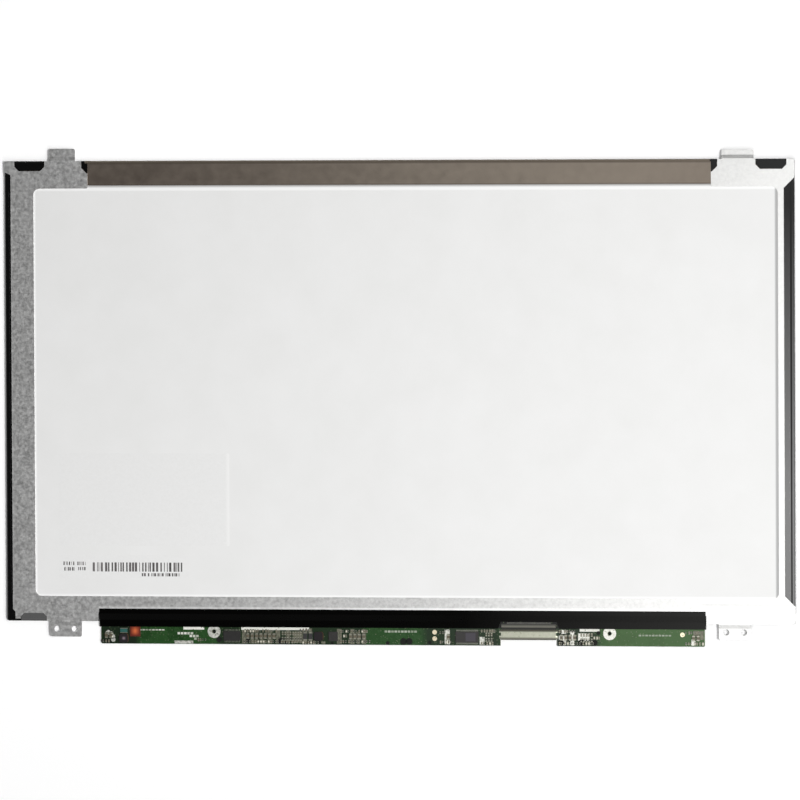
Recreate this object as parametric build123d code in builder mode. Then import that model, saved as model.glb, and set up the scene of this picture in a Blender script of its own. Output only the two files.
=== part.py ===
"""Laptop screen panel: a slim 15.6 inch liquid crystal module, seen and built from its back.

The panel lies on its display face. X runs along the long side, Y up the picture, and Z from the
display face to the back. The origin is under the middle of the panel, on the display face.
All sizes are in millimetres.
"""

import os

from build123d import *

# Picture area and the borders that the body keeps round it
active_width = 344.23
active_height = 193.54
border_side = 7.635
border_top = 6.0
border_bottom = 8.46

# Thickness of each layer, from the display face to the back
polarizer_thickness = 0.15
glass_thickness = 0.5
rim_tape_thickness = 0.08
prism_thickness = 0.13
diffuser_thickness = 0.12
light_guide_thickness = 0.8
reflector_thickness = 0.19
flex_thickness = 0.19
steel_thickness = 0.3
label_thickness = 0.05
film_play = 0.02

# Liquid crystal cell: how far each layer reaches past the picture area
glass_side = 4.0
glass_top = 3.2
glass_bottom = 2.26
bonding_ledge = 3.0
polarizer_reach = 2.0
glass_corner_cut = 0.4
cell_clearance = 0.15

# Driver films that join the glass to the board, and the chip on each
film_count = 4
film_width = 38.0
film_thickness = 0.07
film_overlap = 2.4
chip_length = 17.0
chip_width = 1.2
chip_height = 0.4
chip_clearance = 0.4

# Black moulded frame
mould_front = 0.25
ledge_window_reach = 0.8
top_wall = 0.8
bar_lip = 0.45
rail_groove_inset = 2.2
rail_groove_width = 0.5
rail_groove_depth = 0.25
rail_bevel = 0.4
mould_corner = 1.0
pocket_clearance = 0.15

# Optical sheets with locating ears, and the light guide with locating lugs
sheet_clearance = 0.3
ear_length = 8.0
ear_depth = 1.0
ear_offset = 62.0
lug_length = 6.0
lug_depth = 1.2
lug_offset = 40.0
guide_side = 1.5
guide_bottom = 1.4

# Light bar: flex circuit along the top edge, its tail down the left side, and the diodes
flex_top_gap = 0.25
flex_bottom = 11.0
flex_end_inset = 9.0
tail_width = 2.6
tail_cover = 0.3
tail_gap = 0.6
tail_root_height = 5.4
tail_end_width = 4.8
tail_end_drop = 6.9
tail_share = 0.0567
diode_count = 40
diode_length = 3.8
diode_depth = 1.1
diode_gap = 0.15
diode_play = 0.05

# Folded steel frame: flange widths measured from the body's edges
steel_left = 2.8
steel_right = 4.7
window_left = 13.3
window_right = 7.35
window_top = 12.4
window_bottom = 11.3
window_radius = 3.0
left_ear_inner = 38.3
right_ear_inner = 37.35
steel_setback = 0.4
fold_drop = 1.7
fold_clearance = 0.06

# Corner arms of the steel frame, which reach the outer edges and fold down as hooks
top_left_arm = 5.0
top_left_slant = 1.2
top_right_arm = 8.3
bottom_right_arm = 8.0
bottom_right_round = 2.6
bottom_left_corner = 3.9
bottom_left_step = 4.2
hook_end_gap = 0.8

# Hold-down hooks of the moulded frame, and the slots in the steel that clear them
left_slot_start = 4.6
left_slot_end = 18.5
right_slot_start = 3.4
right_slot_end = 17.35
wide_slot_depth = 4.5
wide_slot_cut = 2.0
small_slot_width = 2.85
small_slot_depth = 5.6
small_slot_cut = 2.4
foot_slot_start = 6.3
foot_slot_end = 18.4
foot_slot_depth = 3.6
foot_slot_cut = 1.6
foot_tooth = 1.0
hook_clearance = 0.1

# Mounting tabs: a step towards the display face, then a flat end
tab_step = 0.3
tab_step_start = 0.3
tab_step_run = 1.6
tab_corner = 1.0
tab_root = 0.8
top_left_tab_gap = 2.05
top_left_tab_width = 12.0
top_left_tab_rise = 5.6
top_right_tab_gap = 0.85
top_right_tab_width = 14.4
top_right_tab_rise = 4.2
bottom_tab_start = 19.9
bottom_tab_width = 14.6
bottom_tab_drop = 7.1
screw_spacing = 8.0
screw_diameter = 2.8
screw_drop = 3.6
dimple_spacing = 6.5
dimple_diameter = 2.0
dimple_depth = 0.12

# Circuit board in the bay under the frame's lower bar
bay_left = 42.2
bay_right = 40.1
board_end_gap = 1.0
board_drop = 10.2
board_thickness = 0.6
board_corner = 0.6
board_hole_diameter = 1.6
left_hole_share = 0.1884
right_hole_share = 0.844
hole_drop = 4.5
notch_margin = 0.6

# Black tape from the steel frame over the bay onto the board
tape_thickness = 0.08
tape_lap = 1.9
tape_foot = 2.5
tape_end_gap = 0.3
tape_slit = 0.4
tape_flare = 1.2

# Video connector, with its mouth towards the board's lower edge
connector_share = 0.7107
connector_back = 0.3
connector_front = 7.1
housing_width = 24.6
housing_height = 1.0
housing_back = 0.3
housing_front = 6.7
mouth_width = 21.4
mouth_height = 0.42
mouth_floor = 0.3
mouth_depth = 3.5
housing_groove_width = 0.8
housing_groove_depth = 0.4
contact_count = 40
contact_pitch = 0.5
contact_width = 0.22
contact_thickness = 0.12
contact_play = 0.02
contact_end_gap = 0.5
shell_thickness = 0.15
shell_clearance = 0.02
shell_back = 2.9
shell_foot = 0.9
shell_lip_length = 0.4
shell_lip_rise = 0.2
shell_window_length = 2.4
shell_window_width = 1.0
shell_window_spacing = 16.0

# Packages on the board: chips with leads, a leadless chip, coils, capacitors and resistors
timing_share = 0.609
timing_length = 10.4
timing_width = 5.0
timing_height = 1.0
timing_lead_count = 20
timing_pitch = 0.5
power_share = 0.2186
power_length = 7.8
power_width = 4.4
power_height = 0.9
power_lead_count = 11
power_pitch = 0.65
lead_width = 0.22
lead_reach = 0.8
lead_height = 0.2
driver_share = 0.387
driver_side = 4.2
driver_height = 0.8
package_bevel = 0.12
chip_row_drop = 6.4
coil_side = 4.0
coil_height = 1.2
coil_top = 3.2
coil_base = 0.4
coil_corner = 0.6
first_coil_share = 0.0378
first_coil_drop = 7.7
second_coil_share = 0.363
fuse_length = 3.2
fuse_width = 2.2
fuse_height = 0.8
fuse_share = 0.0378
fuse_drop = 4.2
fuse_cap = 0.5
large_length = 2.0
large_width = 1.25
large_height = 1.1
large_cap = 0.4
large_pitch = 2.0
small_length = 1.0
small_width = 0.5
small_height = 0.35
small_cap = 0.25
small_pitch = 1.2
small_row_gap = 2.4
cap_proud = 0.03

# Rows of small parts: where along the board each row stands, and how many parts it has
left_end_share = 0.0124
left_end_count = 2
power_row_share = 0.267
power_row_count = 7
middle_row_share = 0.427
middle_row_count = 4
timing_row_share = 0.578
timing_row_count = 1
right_end_share = 0.986
right_end_count = 2
connector_row_gap = 0.9
connector_row_count = 4
power_small_share = 0.318
power_small_count = 8
timing_small_count = 3
connector_small_gap = 2.3
connector_small_count = 5

# Rectifiers beside the coil
rectifier_share = 0.345
rectifier_count = 2
rectifier_length = 3.4
rectifier_width = 1.6
rectifier_height = 0.9
rectifier_pitch = 2.4
rectifier_cap = 0.4

# Labels on the white reflector, placed from the window's lower left corner
blank_label_left = 11.25
blank_label_bottom = 22.8
blank_label_width = 78.1
blank_label_height = 41.9
code_label_left = 11.0
code_label_bottom = 8.2
code_label_width = 60.0
code_label_height = 10.4
label_corner = 0.8

# How far a cut runs past the edge that it opens
overshoot = 1.0

# Outline of the body and of the whole panel
panel_width = active_width + 2 * border_side
body_height = active_height + border_top + border_bottom
overall_height = top_left_tab_rise + body_height + board_drop
body_top = overall_height / 2 - top_left_tab_rise
body_bottom = body_top - body_height

# Edges of the picture area, the cell, the light guide and the board
active_left = -active_width / 2
active_right = active_width / 2
active_top = body_top - border_top
active_bottom = body_bottom + border_bottom
glass_left = active_left - glass_side
glass_right = active_right + glass_side
glass_upper = active_top + glass_top
filter_lower = active_bottom - glass_bottom
array_lower = filter_lower - bonding_ledge
guide_left = active_left - guide_side
guide_right = active_right + guide_side
guide_lower = active_bottom - guide_bottom
tail_left = -panel_width / 2 + steel_left + tail_cover
tail_upper = guide_lower - tail_gap
tail_lower = tail_upper - tail_width
bar_lower = tail_lower - bar_lip
steel_lower = bar_lower + steel_setback
flex_upper = body_top - top_wall - flex_top_gap
flex_lower = body_top - flex_bottom
diode_lower = flex_upper - diode_gap - diode_depth
guide_upper = diode_lower - diode_gap
board_left = -panel_width / 2 + bay_left + board_end_gap
board_right = panel_width / 2 - bay_right - board_end_gap
board_upper = array_lower - chip_width - 2 * chip_clearance
board_lower = body_bottom - board_drop

# Height of each layer's front face
film_stack = 2 * prism_thickness + diffuser_thickness + film_play
filter_front = polarizer_thickness
array_front = filter_front + glass_thickness
rear_polarizer_front = array_front + glass_thickness
rim_tape_front = rear_polarizer_front + polarizer_thickness
ledge_front = rim_tape_front + rim_tape_thickness
guide_front = ledge_front + film_stack
reflector_front = guide_front + light_guide_thickness
steel_front = reflector_front + max(reflector_thickness, flex_thickness)
steel_back = steel_front + steel_thickness
board_back = array_front + board_thickness
tab_front = steel_front - tab_step


def from_left(distance):
    return -panel_width / 2 + distance


def from_right(distance):
    return panel_width / 2 - distance


def below_top(distance):
    return body_top - distance


def above_bottom(distance):
    return body_bottom + distance


def along_board(share):
    return board_left + share * (board_right - board_left)


def area(left, right, lower, upper, mode=Mode.ADD):
    """A rectangle between two X and two Y values, in the sketch that is open."""
    with Locations(((left + right) / 2, (lower + upper) / 2)):
        Rectangle(right - left, upper - lower, mode=mode)


def save(builder, label):
    builder.part.label = label
    export_step(builder.part, f"parts/{label}.step")


def hook_slot(first, last, edge, depth, cut, mode=Mode.ADD):
    """A slot open at Y = edge that reaches in by depth, with both inner corners cut at a slant."""
    slant = cut if depth > 0 else -cut
    Polygon(
        (first, edge),
        (last, edge),
        (last, edge + depth - slant),
        (last - cut, edge + depth),
        (first + cut, edge + depth),
        (first, edge + depth - slant),
        mode=mode,
    )


def sheet(label, left, right, lower, upper, front, thickness, corner=0.0):
    """A flat rectangular layer of the panel."""
    with BuildPart() as layer:
        with BuildSketch(Plane.XY.offset(front)) as outline:
            area(left, right, lower, upper)
            if corner:
                chamfer(outline.vertices(), corner)
        extrude(amount=thickness)
    save(layer, label)


os.makedirs("parts", exist_ok=True)

# Liquid crystal cell: two panes of glass between two polarizers
for label, front in (("front_polarizer", 0.0), ("rear_polarizer", rear_polarizer_front)):
    sheet(
        label,
        active_left - polarizer_reach,
        active_right + polarizer_reach,
        active_bottom - polarizer_reach,
        active_top + polarizer_reach,
        front,
        polarizer_thickness,
    )
for label, lower, front in (
    ("colour_filter_glass", filter_lower, filter_front),
    ("array_glass", array_lower, array_front),
):
    sheet(label, glass_left, glass_right, lower, glass_upper, front, glass_thickness, glass_corner_cut)

# Driver films, bonded under the lower ledge of the array glass and under the board
film_upper = array_lower + film_overlap
film_lower = board_upper - film_overlap
chip_middle = (array_lower + board_upper) / 2
for number in range(1, film_count + 1):
    film_middle = along_board((number - 0.5) / film_count)
    sheet(
        f"driver_film_{number}",
        film_middle - film_width / 2,
        film_middle + film_width / 2,
        film_lower,
        film_upper,
        array_front - film_thickness,
        film_thickness,
    )
    sheet(
        f"driver_chip_{number}",
        film_middle - chip_length / 2,
        film_middle + chip_length / 2,
        chip_middle - chip_width / 2,
        chip_middle + chip_width / 2,
        array_front,
        chip_height,
    )

# Adhesive tape between the cell and the ledge of the moulded frame
with BuildPart() as rim_tape:
    with BuildSketch(Plane.XY.offset(rim_tape_front)):
        area(
            active_left - polarizer_reach,
            active_right + polarizer_reach,
            active_bottom - polarizer_reach,
            active_top + polarizer_reach,
        )
        area(
            active_left - ledge_window_reach,
            active_right + ledge_window_reach,
            active_bottom - ledge_window_reach,
            active_top + ledge_window_reach,
            mode=Mode.SUBTRACT,
        )
    extrude(amount=rim_tape_thickness)
save(rim_tape, "rim_tape")


def optical_outline(clearance):
    """The optical sheets' outline with an ear on each side, grown by the clearance."""
    reach = ledge_window_reach - sheet_clearance + clearance
    area(active_left - reach, active_right + reach, active_bottom - reach, active_top + reach)
    middle = (active_top + active_bottom) / 2
    for offset in (-ear_offset, ear_offset):
        with Locations((0, middle + offset)):
            Rectangle(active_width + 2 * (reach + ear_depth), ear_length + 2 * clearance)


def guide_outline(clearance):
    """The light guide's outline with a lug on each side, grown by the clearance."""
    area(guide_left - clearance, guide_right + clearance, guide_lower - clearance, guide_upper + clearance)
    with Locations(((guide_left + guide_right) / 2, guide_lower + lug_offset)):
        Rectangle(
            guide_right - guide_left + 2 * (lug_depth + clearance),
            lug_length + 2 * clearance,
        )


# Tail of the light bar's flex: down the left side, then along the lower bar to the board
tail_middle = along_board(tail_share)


def flex_tail_outline(clearance):
    """The flat run of the tail, up to the edge of the lower bar, grown by the clearance."""
    tail_top = flex_lower + tail_root_height + clearance
    tongue_right = tail_middle + tail_end_width / 2 + clearance
    area(tail_left - clearance, from_left(flex_end_inset), flex_lower - clearance, tail_top)
    area(tail_left - clearance, tail_left + tail_width + clearance, tail_upper, tail_top)
    Polygon(
        (tail_left - clearance, tail_upper + clearance),
        (tail_left - clearance, tail_upper),
        (tail_left + tail_width - clearance, tail_lower - clearance),
        (tongue_right, tail_lower - clearance),
        (tongue_right, tail_upper + clearance),
    )
    area(tail_middle - tail_end_width / 2 - clearance, tongue_right, bar_lower, tail_lower)


# Places where the steel frame's corner arms fold down over the sides: X side, lower and upper Y
side_hooks = (
    (-1, below_top(top_left_arm - hook_end_gap), below_top(hook_end_gap)),
    (1, below_top(top_right_arm - hook_end_gap), below_top(hook_end_gap)),
    (1, above_bottom(bottom_right_round + hook_end_gap), above_bottom(bottom_right_arm - hook_end_gap)),
)

# Slots along the top edge, from the left: first X, last X
wide_slots = (
    (from_left(left_slot_start), from_left(left_slot_end)),
    (from_right(right_slot_end), from_right(right_slot_start)),
)

# Inner end of each ear: X side, and its distance from that side's edge
ear_ends = ((-1, left_ear_inner), (1, right_ear_inner))


def small_slot(side, inner, clearance, mode=Mode.ADD):
    """The cut inner corner of an ear, where the smaller hook comes through."""
    far = panel_width / 2 - inner
    near = far + small_slot_width - clearance
    edge = below_top(0)
    depth = small_slot_depth - clearance
    Polygon(
        (side * near, edge),
        (side * near, edge - depth + small_slot_cut),
        (side * (near - small_slot_cut), edge - depth),
        (side * far, edge - depth),
        (side * far, edge),
        mode=mode,
    )


# Black moulded frame: carries the cell in front and the light guide behind a thin ledge
with BuildPart() as mould_frame:
    with BuildSketch(Plane.XY.offset(mould_front)) as outline:
        area(from_left(0), from_right(0), above_bottom(0), below_top(0))
        fillet(outline.vertices(), mould_corner)
    extrude(amount=steel_front - mould_front)
    chamfer(mould_frame.faces().sort_by(Axis.Z)[-1].edges(), rail_bevel)
    with BuildSketch(Plane.XY.offset(mould_front)):
        area(from_left(bay_left), from_right(bay_right), above_bottom(-overshoot), bar_lower)
    extrude(amount=steel_front - mould_front, mode=Mode.SUBTRACT)
    with BuildSketch(Plane.XY.offset(mould_front)):
        area(
            glass_left - cell_clearance,
            glass_right + cell_clearance,
            array_lower - cell_clearance,
            glass_upper + cell_clearance,
        )
    extrude(amount=ledge_front - mould_front, mode=Mode.SUBTRACT)
    with BuildSketch(Plane.XY.offset(ledge_front)):
        optical_outline(sheet_clearance)
    extrude(amount=film_stack, mode=Mode.SUBTRACT)
    with BuildSketch(Plane.XY.offset(guide_front)):
        guide_outline(pocket_clearance)
        area(guide_left - pocket_clearance, guide_right + pocket_clearance, guide_upper, below_top(top_wall))
    extrude(amount=steel_front - guide_front, mode=Mode.SUBTRACT)
    with BuildSketch(Plane.XY.offset(reflector_front)):
        flex_tail_outline(pocket_clearance)
    extrude(amount=steel_front - reflector_front, mode=Mode.SUBTRACT)
    with BuildSketch(Plane.XY.offset(steel_front)):
        for side in (-1, 1):
            middle = side * (panel_width / 2 - rail_groove_inset)
            area(
                middle - rail_groove_width / 2,
                middle + rail_groove_width / 2,
                above_bottom(bottom_right_arm + steel_right),
                below_top(top_right_arm + steel_right),
            )
    extrude(amount=-rail_groove_depth, mode=Mode.SUBTRACT)
    with BuildSketch(Plane.XY.offset(steel_front - fold_drop - fold_clearance)):
        for side, lower, upper in side_hooks:
            with Locations((side * panel_width / 2, (lower + upper) / 2)):
                Rectangle(2 * (steel_thickness + fold_clearance), upper - lower + 2 * fold_clearance)
    extrude(amount=steel_thickness + fold_drop, mode=Mode.SUBTRACT)
    with BuildSketch(Plane.XY.offset(steel_front)):
        for first, last in wide_slots:
            hook_slot(
                first + hook_clearance,
                last - hook_clearance,
                below_top(rail_bevel),
                hook_clearance + rail_bevel - wide_slot_depth,
                wide_slot_cut,
            )
        for side, inner in ear_ends:
            small_slot(side, inner, hook_clearance)
        area(from_left(0), from_right(0), below_top(rail_bevel), below_top(-overshoot), mode=Mode.SUBTRACT)
    extrude(amount=steel_thickness)
save(mould_frame, "mould_frame")

# Optical sheets, stacked on the front of the light guide
diffuser_front = guide_front - diffuser_thickness
lower_prism_front = diffuser_front - prism_thickness
upper_prism_front = lower_prism_front - prism_thickness
for label, front, thickness in (
    ("upper_prism_sheet", upper_prism_front, prism_thickness),
    ("lower_prism_sheet", lower_prism_front, prism_thickness),
    ("diffuser_sheet", diffuser_front, diffuser_thickness),
):
    with BuildPart() as optical_sheet:
        with BuildSketch(Plane.XY.offset(front)):
            optical_outline(0.0)
        extrude(amount=thickness)
    save(optical_sheet, label)

with BuildPart() as light_guide:
    with BuildSketch(Plane.XY.offset(guide_front)):
        guide_outline(0.0)
    extrude(amount=light_guide_thickness)
save(light_guide, "light_guide")

# White reflector behind the light guide, up to the light bar's flex
sheet(
    "reflector_sheet",
    guide_left,
    guide_right,
    guide_lower,
    flex_lower - film_play,
    reflector_front,
    reflector_thickness,
)

# Light bar: brown flex along the top, whose tail steps down onto the board
ramp_start = bar_lower - pocket_clearance
ramp_end = board_upper - 2 * pocket_clearance
with BuildPart() as light_bar_flex:
    with BuildSketch(Plane.XY.offset(reflector_front)):
        area(from_left(flex_end_inset), from_right(flex_end_inset), flex_lower, flex_upper)
        flex_tail_outline(0.0)
    extrude(amount=flex_thickness)
    with BuildSketch(Plane.YZ.offset(tail_middle - tail_end_width / 2)):
        Polygon(
            (tail_lower, reflector_front),
            (ramp_start, reflector_front),
            (ramp_end, board_back),
            (above_bottom(-tail_end_drop), board_back),
            (above_bottom(-tail_end_drop), board_back + flex_thickness),
            (ramp_end, board_back + flex_thickness),
            (ramp_start, reflector_front + flex_thickness),
            (tail_lower, reflector_front + flex_thickness),
        )
    extrude(amount=tail_end_width)
save(light_bar_flex, "light_bar_flex")

# Side-emitting diodes on the front of the flex, facing the light guide's upper edge
diode_height = light_guide_thickness - diode_play
diode_pitch = (panel_width - 2 * flex_end_inset) / diode_count
with BuildPart() as light_bar_diodes:
    with BuildSketch(Plane.XY.offset(reflector_front)):
        with Locations((0, diode_lower + diode_depth / 2)):
            with GridLocations(diode_pitch, 1, diode_count, 1):
                Rectangle(diode_length, diode_depth)
    extrude(amount=-diode_height)
save(light_bar_diodes, "light_bar_diodes")


def tab_profile(edge, reach):
    """A tab from the side: it steps towards the display face and ends flat; a positive reach is upwards."""
    way = 1 if reach > 0 else -1
    bend = edge + way * tab_step_start
    flat = bend + way * tab_step_run
    root = edge - way * tab_root
    Polygon(
        (root, steel_front),
        (bend, steel_front),
        (flat, tab_front),
        (edge + reach, tab_front),
        (edge + reach, tab_front + steel_thickness),
        (flat, tab_front + steel_thickness),
        (bend, steel_back),
        (root, steel_back),
    )


# Each tab: first X, width, the body edge it stands on, and how far it reaches
top_tabs = (
    (from_left(left_slot_end + top_left_tab_gap), top_left_tab_width, below_top(0), top_left_tab_rise),
    (
        from_right(right_slot_end + top_right_tab_gap + top_right_tab_width),
        top_right_tab_width,
        below_top(0),
        top_right_tab_rise,
    ),
)
bottom_tabs = (
    (from_left(bottom_tab_start), bottom_tab_width, above_bottom(0), -bottom_tab_drop),
    (
        from_right(bottom_tab_start + bottom_tab_width),
        bottom_tab_width,
        above_bottom(0),
        -bottom_tab_drop,
    ),
)

# Steel frame: one blank, pierced and folded, that clamps the back of the panel
with BuildPart() as back_frame:
    with BuildSketch(Plane.XY.offset(steel_front)) as blank:
        area(from_left(0), from_right(0), above_bottom(0), below_top(0))
        fillet(blank.vertices().sort_by(Axis.X)[2:].sort_by(Axis.Y)[:1], bottom_right_round)
        Polygon(
            (from_left(-overshoot), below_top(top_left_arm - overshoot * top_left_slant / steel_left)),
            (from_left(steel_left), below_top(top_left_arm + top_left_slant)),
            (from_left(steel_left), above_bottom(bottom_left_step + bottom_left_corner - steel_left)),
            (from_left(bottom_left_corner), above_bottom(bottom_left_step)),
            (from_left(bottom_left_corner), above_bottom(foot_tooth)),
            (from_left(foot_slot_start), above_bottom(foot_tooth)),
            (from_left(foot_slot_start), above_bottom(-overshoot)),
            (from_left(-overshoot), above_bottom(-overshoot)),
            mode=Mode.SUBTRACT,
        )
        Polygon(
            (from_right(-overshoot), below_top(top_right_arm - overshoot)),
            (from_right(steel_right), below_top(top_right_arm + steel_right)),
            (from_right(steel_right), above_bottom(bottom_right_arm + steel_right)),
            (from_right(-overshoot), above_bottom(bottom_right_arm - overshoot)),
            mode=Mode.SUBTRACT,
        )
        area(
            from_left(bay_left),
            from_right(bay_right),
            above_bottom(-overshoot),
            steel_lower,
            mode=Mode.SUBTRACT,
        )
        for first, last in wide_slots:
            hook_slot(first, last, below_top(0), -wide_slot_depth, wide_slot_cut, mode=Mode.SUBTRACT)
        for side, inner in ear_ends:
            small_slot(side, inner, 0.0, mode=Mode.SUBTRACT)
        hook_slot(
            from_left(foot_slot_start),
            from_left(foot_slot_end),
            above_bottom(0),
            foot_slot_depth,
            foot_slot_cut,
            mode=Mode.SUBTRACT,
        )
        area(
            from_left(left_ear_inner),
            from_right(right_ear_inner),
            below_top(window_top + window_radius),
            below_top(-overshoot),
            mode=Mode.SUBTRACT,
        )
        window_middle = (
            (from_left(window_left) + from_right(window_right)) / 2,
            (above_bottom(window_bottom) + below_top(window_top)) / 2,
        )
        with Locations(window_middle):
            RectangleRounded(
                panel_width - window_left - window_right,
                body_height - window_bottom - window_top,
                window_radius,
                mode=Mode.SUBTRACT,
            )
    extrude(amount=steel_thickness)
    for first, width, edge, reach in top_tabs + bottom_tabs:
        with BuildSketch(Plane.YZ.offset(first)):
            tab_profile(edge, reach)
        extrude(amount=width)
        tab_end = back_frame.edges().filter_by(Axis.Z).filter_by_position(
            Axis.Y, edge + reach - tab_corner, edge + reach + tab_corner
        ).filter_by_position(Axis.X, first - tab_corner, first + width + tab_corner)
        fillet(tab_end, tab_corner)
    with BuildSketch(Plane.XY.offset(steel_back)):
        for side, lower, upper in side_hooks:
            middle = side * (panel_width - steel_thickness) / 2
            with Locations((middle, (lower + upper) / 2)):
                Rectangle(steel_thickness, upper - lower)
    extrude(amount=-(steel_thickness + fold_drop))
    with BuildSketch(Plane.XY.offset(tab_front)):
        for first, width, edge, reach in bottom_tabs:
            with Locations((first + width / 2, edge - screw_drop)):
                with GridLocations(screw_spacing, 1, 2, 1):
                    Circle(screw_diameter / 2)
    extrude(amount=steel_thickness, mode=Mode.SUBTRACT)
    with BuildSketch(Plane.XY.offset(tab_front + steel_thickness)):
        for first, width, edge, reach in top_tabs:
            with Locations((first + width / 2, edge + reach - dimple_diameter)):
                with GridLocations(dimple_spacing, 1, 2, 1):
                    Circle(dimple_diameter / 2)
    extrude(amount=-dimple_depth, mode=Mode.SUBTRACT)
save(back_frame, "back_frame")

# Video connector's place on the board
connector_middle = along_board(connector_share)
shell_inside = housing_width / 2 + shell_clearance
shell_outside = shell_inside + shell_thickness
shell_reach = shell_outside + shell_foot

# Circuit board, notched under the connector's mouth
with BuildPart() as circuit_board:
    with BuildSketch(Plane.XY.offset(array_front)) as outline:
        area(board_left, board_right, board_lower, board_upper)
        fillet(outline.vertices(), board_corner)
        area(
            connector_middle - housing_width / 2 - notch_margin,
            connector_middle + housing_width / 2 + notch_margin,
            board_lower - overshoot,
            above_bottom(-connector_front),
            mode=Mode.SUBTRACT,
        )
        with Locations(
            (along_board(left_hole_share), above_bottom(-hole_drop)),
            (along_board(right_hole_share), above_bottom(-hole_drop)),
        ):
            Circle(board_hole_diameter / 2, mode=Mode.SUBTRACT)
    extrude(amount=board_thickness)
save(circuit_board, "circuit_board")

# Black cover tape: from the steel, down over the bay, onto the board, cut out round the connector
tape_rest = board_back + flex_thickness
tape_upper = steel_lower + tape_lap
tape_bend = steel_lower - tape_end_gap
tape_landing = ramp_end - tape_end_gap
with BuildPart() as board_cover_tape:
    with BuildSketch(Plane.YZ.offset(from_left(bay_left + tape_end_gap))):
        Polygon(
            (tape_upper, steel_back),
            (tape_bend, steel_back),
            (tape_landing, tape_rest),
            (above_bottom(-tape_foot), tape_rest),
            (above_bottom(-tape_foot), tape_rest + tape_thickness),
            (tape_landing, tape_rest + tape_thickness),
            (tape_bend, steel_back + tape_thickness),
            (tape_upper, steel_back + tape_thickness),
        )
    extrude(amount=panel_width - bay_left - bay_right - 2 * tape_end_gap)
    cut_half = housing_width / 2 + tape_slit
    with BuildSketch(Plane.XY.offset(board_back)):
        with Locations((connector_middle, 0)):
            Polygon(
                (-cut_half, tape_landing),
                (-cut_half - tape_flare, above_bottom(-tape_foot)),
                (-cut_half - tape_flare, above_bottom(-tape_foot - overshoot)),
                (cut_half + tape_flare, above_bottom(-tape_foot - overshoot)),
                (cut_half + tape_flare, above_bottom(-tape_foot)),
                (cut_half, tape_landing),
            )
    extrude(amount=steel_back - board_back, mode=Mode.SUBTRACT)
save(board_cover_tape, "board_cover_tape")

# Connector housing: a moulded block with a wide flat mouth and a comb for the contacts
mouth_end = above_bottom(-housing_front + mouth_depth)
contact_row = (contact_pitch, 1, contact_count, 1)
with BuildPart() as connector_housing:
    with BuildSketch(Plane.XY.offset(board_back)):
        area(
            connector_middle - housing_width / 2,
            connector_middle + housing_width / 2,
            above_bottom(-housing_front),
            above_bottom(-housing_back),
        )
    extrude(amount=housing_height)
    with BuildSketch(Plane.XY.offset(board_back + mouth_floor)):
        area(
            connector_middle - mouth_width / 2,
            connector_middle + mouth_width / 2,
            above_bottom(-housing_front),
            mouth_end,
        )
    extrude(amount=mouth_height, mode=Mode.SUBTRACT)
    comb_length = above_bottom(-housing_back) - mouth_end
    with BuildSketch(Plane.XY.offset(board_back)):
        with Locations((connector_middle, mouth_end + comb_length / 2)):
            with GridLocations(*contact_row):
                Rectangle(contact_width + 2 * contact_play, comb_length)
    extrude(amount=mouth_floor + contact_thickness + contact_play, mode=Mode.SUBTRACT)
    with BuildSketch(Plane.XY.offset(board_back + housing_height)):
        area(
            connector_middle - housing_width / 2,
            connector_middle + housing_width / 2,
            above_bottom(-shell_back),
            above_bottom(-shell_back + housing_groove_width),
        )
    extrude(amount=-housing_groove_depth, mode=Mode.SUBTRACT)
save(connector_housing, "connector_housing")

# Contacts: a foot on the board, a riser in the comb and a blade along the floor of the mouth
blade_back = above_bottom(-2 * housing_back)
blade_front = above_bottom(-housing_front + contact_end_gap)
with BuildPart() as connector_contacts:
    for lower, upper, floor, height in (
        (blade_back, above_bottom(connector_back), 0.0, contact_thickness),
        (blade_back - contact_thickness, blade_back, 0.0, mouth_floor + contact_thickness),
        (blade_front, blade_back - contact_thickness, mouth_floor, contact_thickness),
    ):
        with BuildSketch(Plane.XY.offset(board_back + floor)):
            with Locations((connector_middle, (lower + upper) / 2)):
                with GridLocations(*contact_row):
                    Rectangle(contact_width, upper - lower)
        extrude(amount=height)
save(connector_contacts, "connector_contacts")

# Connector shell: folded plate over the housing, with soldered feet, two latch windows and a raised lip
shell_top = board_back + housing_height + shell_clearance + shell_thickness
shell_length = connector_front - shell_back
with BuildPart() as connector_shell:
    with BuildSketch(Plane.XZ.offset(-above_bottom(-shell_back))):
        with Locations((connector_middle, 0)):
            Polygon(
                (-shell_reach, board_back),
                (-shell_reach, board_back + shell_thickness),
                (-shell_outside, board_back + shell_thickness),
                (-shell_outside, shell_top),
                (shell_outside, shell_top),
                (shell_outside, board_back + shell_thickness),
                (shell_reach, board_back + shell_thickness),
                (shell_reach, board_back),
                (shell_inside, board_back),
                (shell_inside, shell_top - shell_thickness),
                (-shell_inside, shell_top - shell_thickness),
                (-shell_inside, board_back),
            )
    extrude(amount=shell_length)
    shell_middle = above_bottom(-shell_back - shell_length / 2)
    with BuildSketch(Plane.XY.offset(shell_top - shell_thickness)):
        with Locations((connector_middle, shell_middle)):
            with GridLocations(shell_window_spacing, 1, 2, 1):
                Rectangle(shell_window_length, shell_window_width)
    extrude(amount=shell_thickness, mode=Mode.SUBTRACT)
    with BuildSketch(Plane.XY.offset(board_back)):
        with Locations((connector_middle, shell_middle)):
            with GridLocations(2 * shell_outside + shell_foot, 1, 2, 1):
                Rectangle(shell_foot, shell_length / 3)
    extrude(amount=shell_thickness, mode=Mode.SUBTRACT)
    shell_front = above_bottom(-connector_front)
    with BuildSketch(Plane.YZ.offset(connector_middle - shell_outside)):
        Polygon(
            (shell_front, shell_top - shell_thickness),
            (shell_front - shell_lip_length, shell_top - shell_thickness + shell_lip_rise),
            (shell_front - shell_lip_length, shell_top + shell_lip_rise),
            (shell_front, shell_top),
        )
    extrude(amount=2 * shell_outside)
save(connector_shell, "connector_shell")


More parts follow.
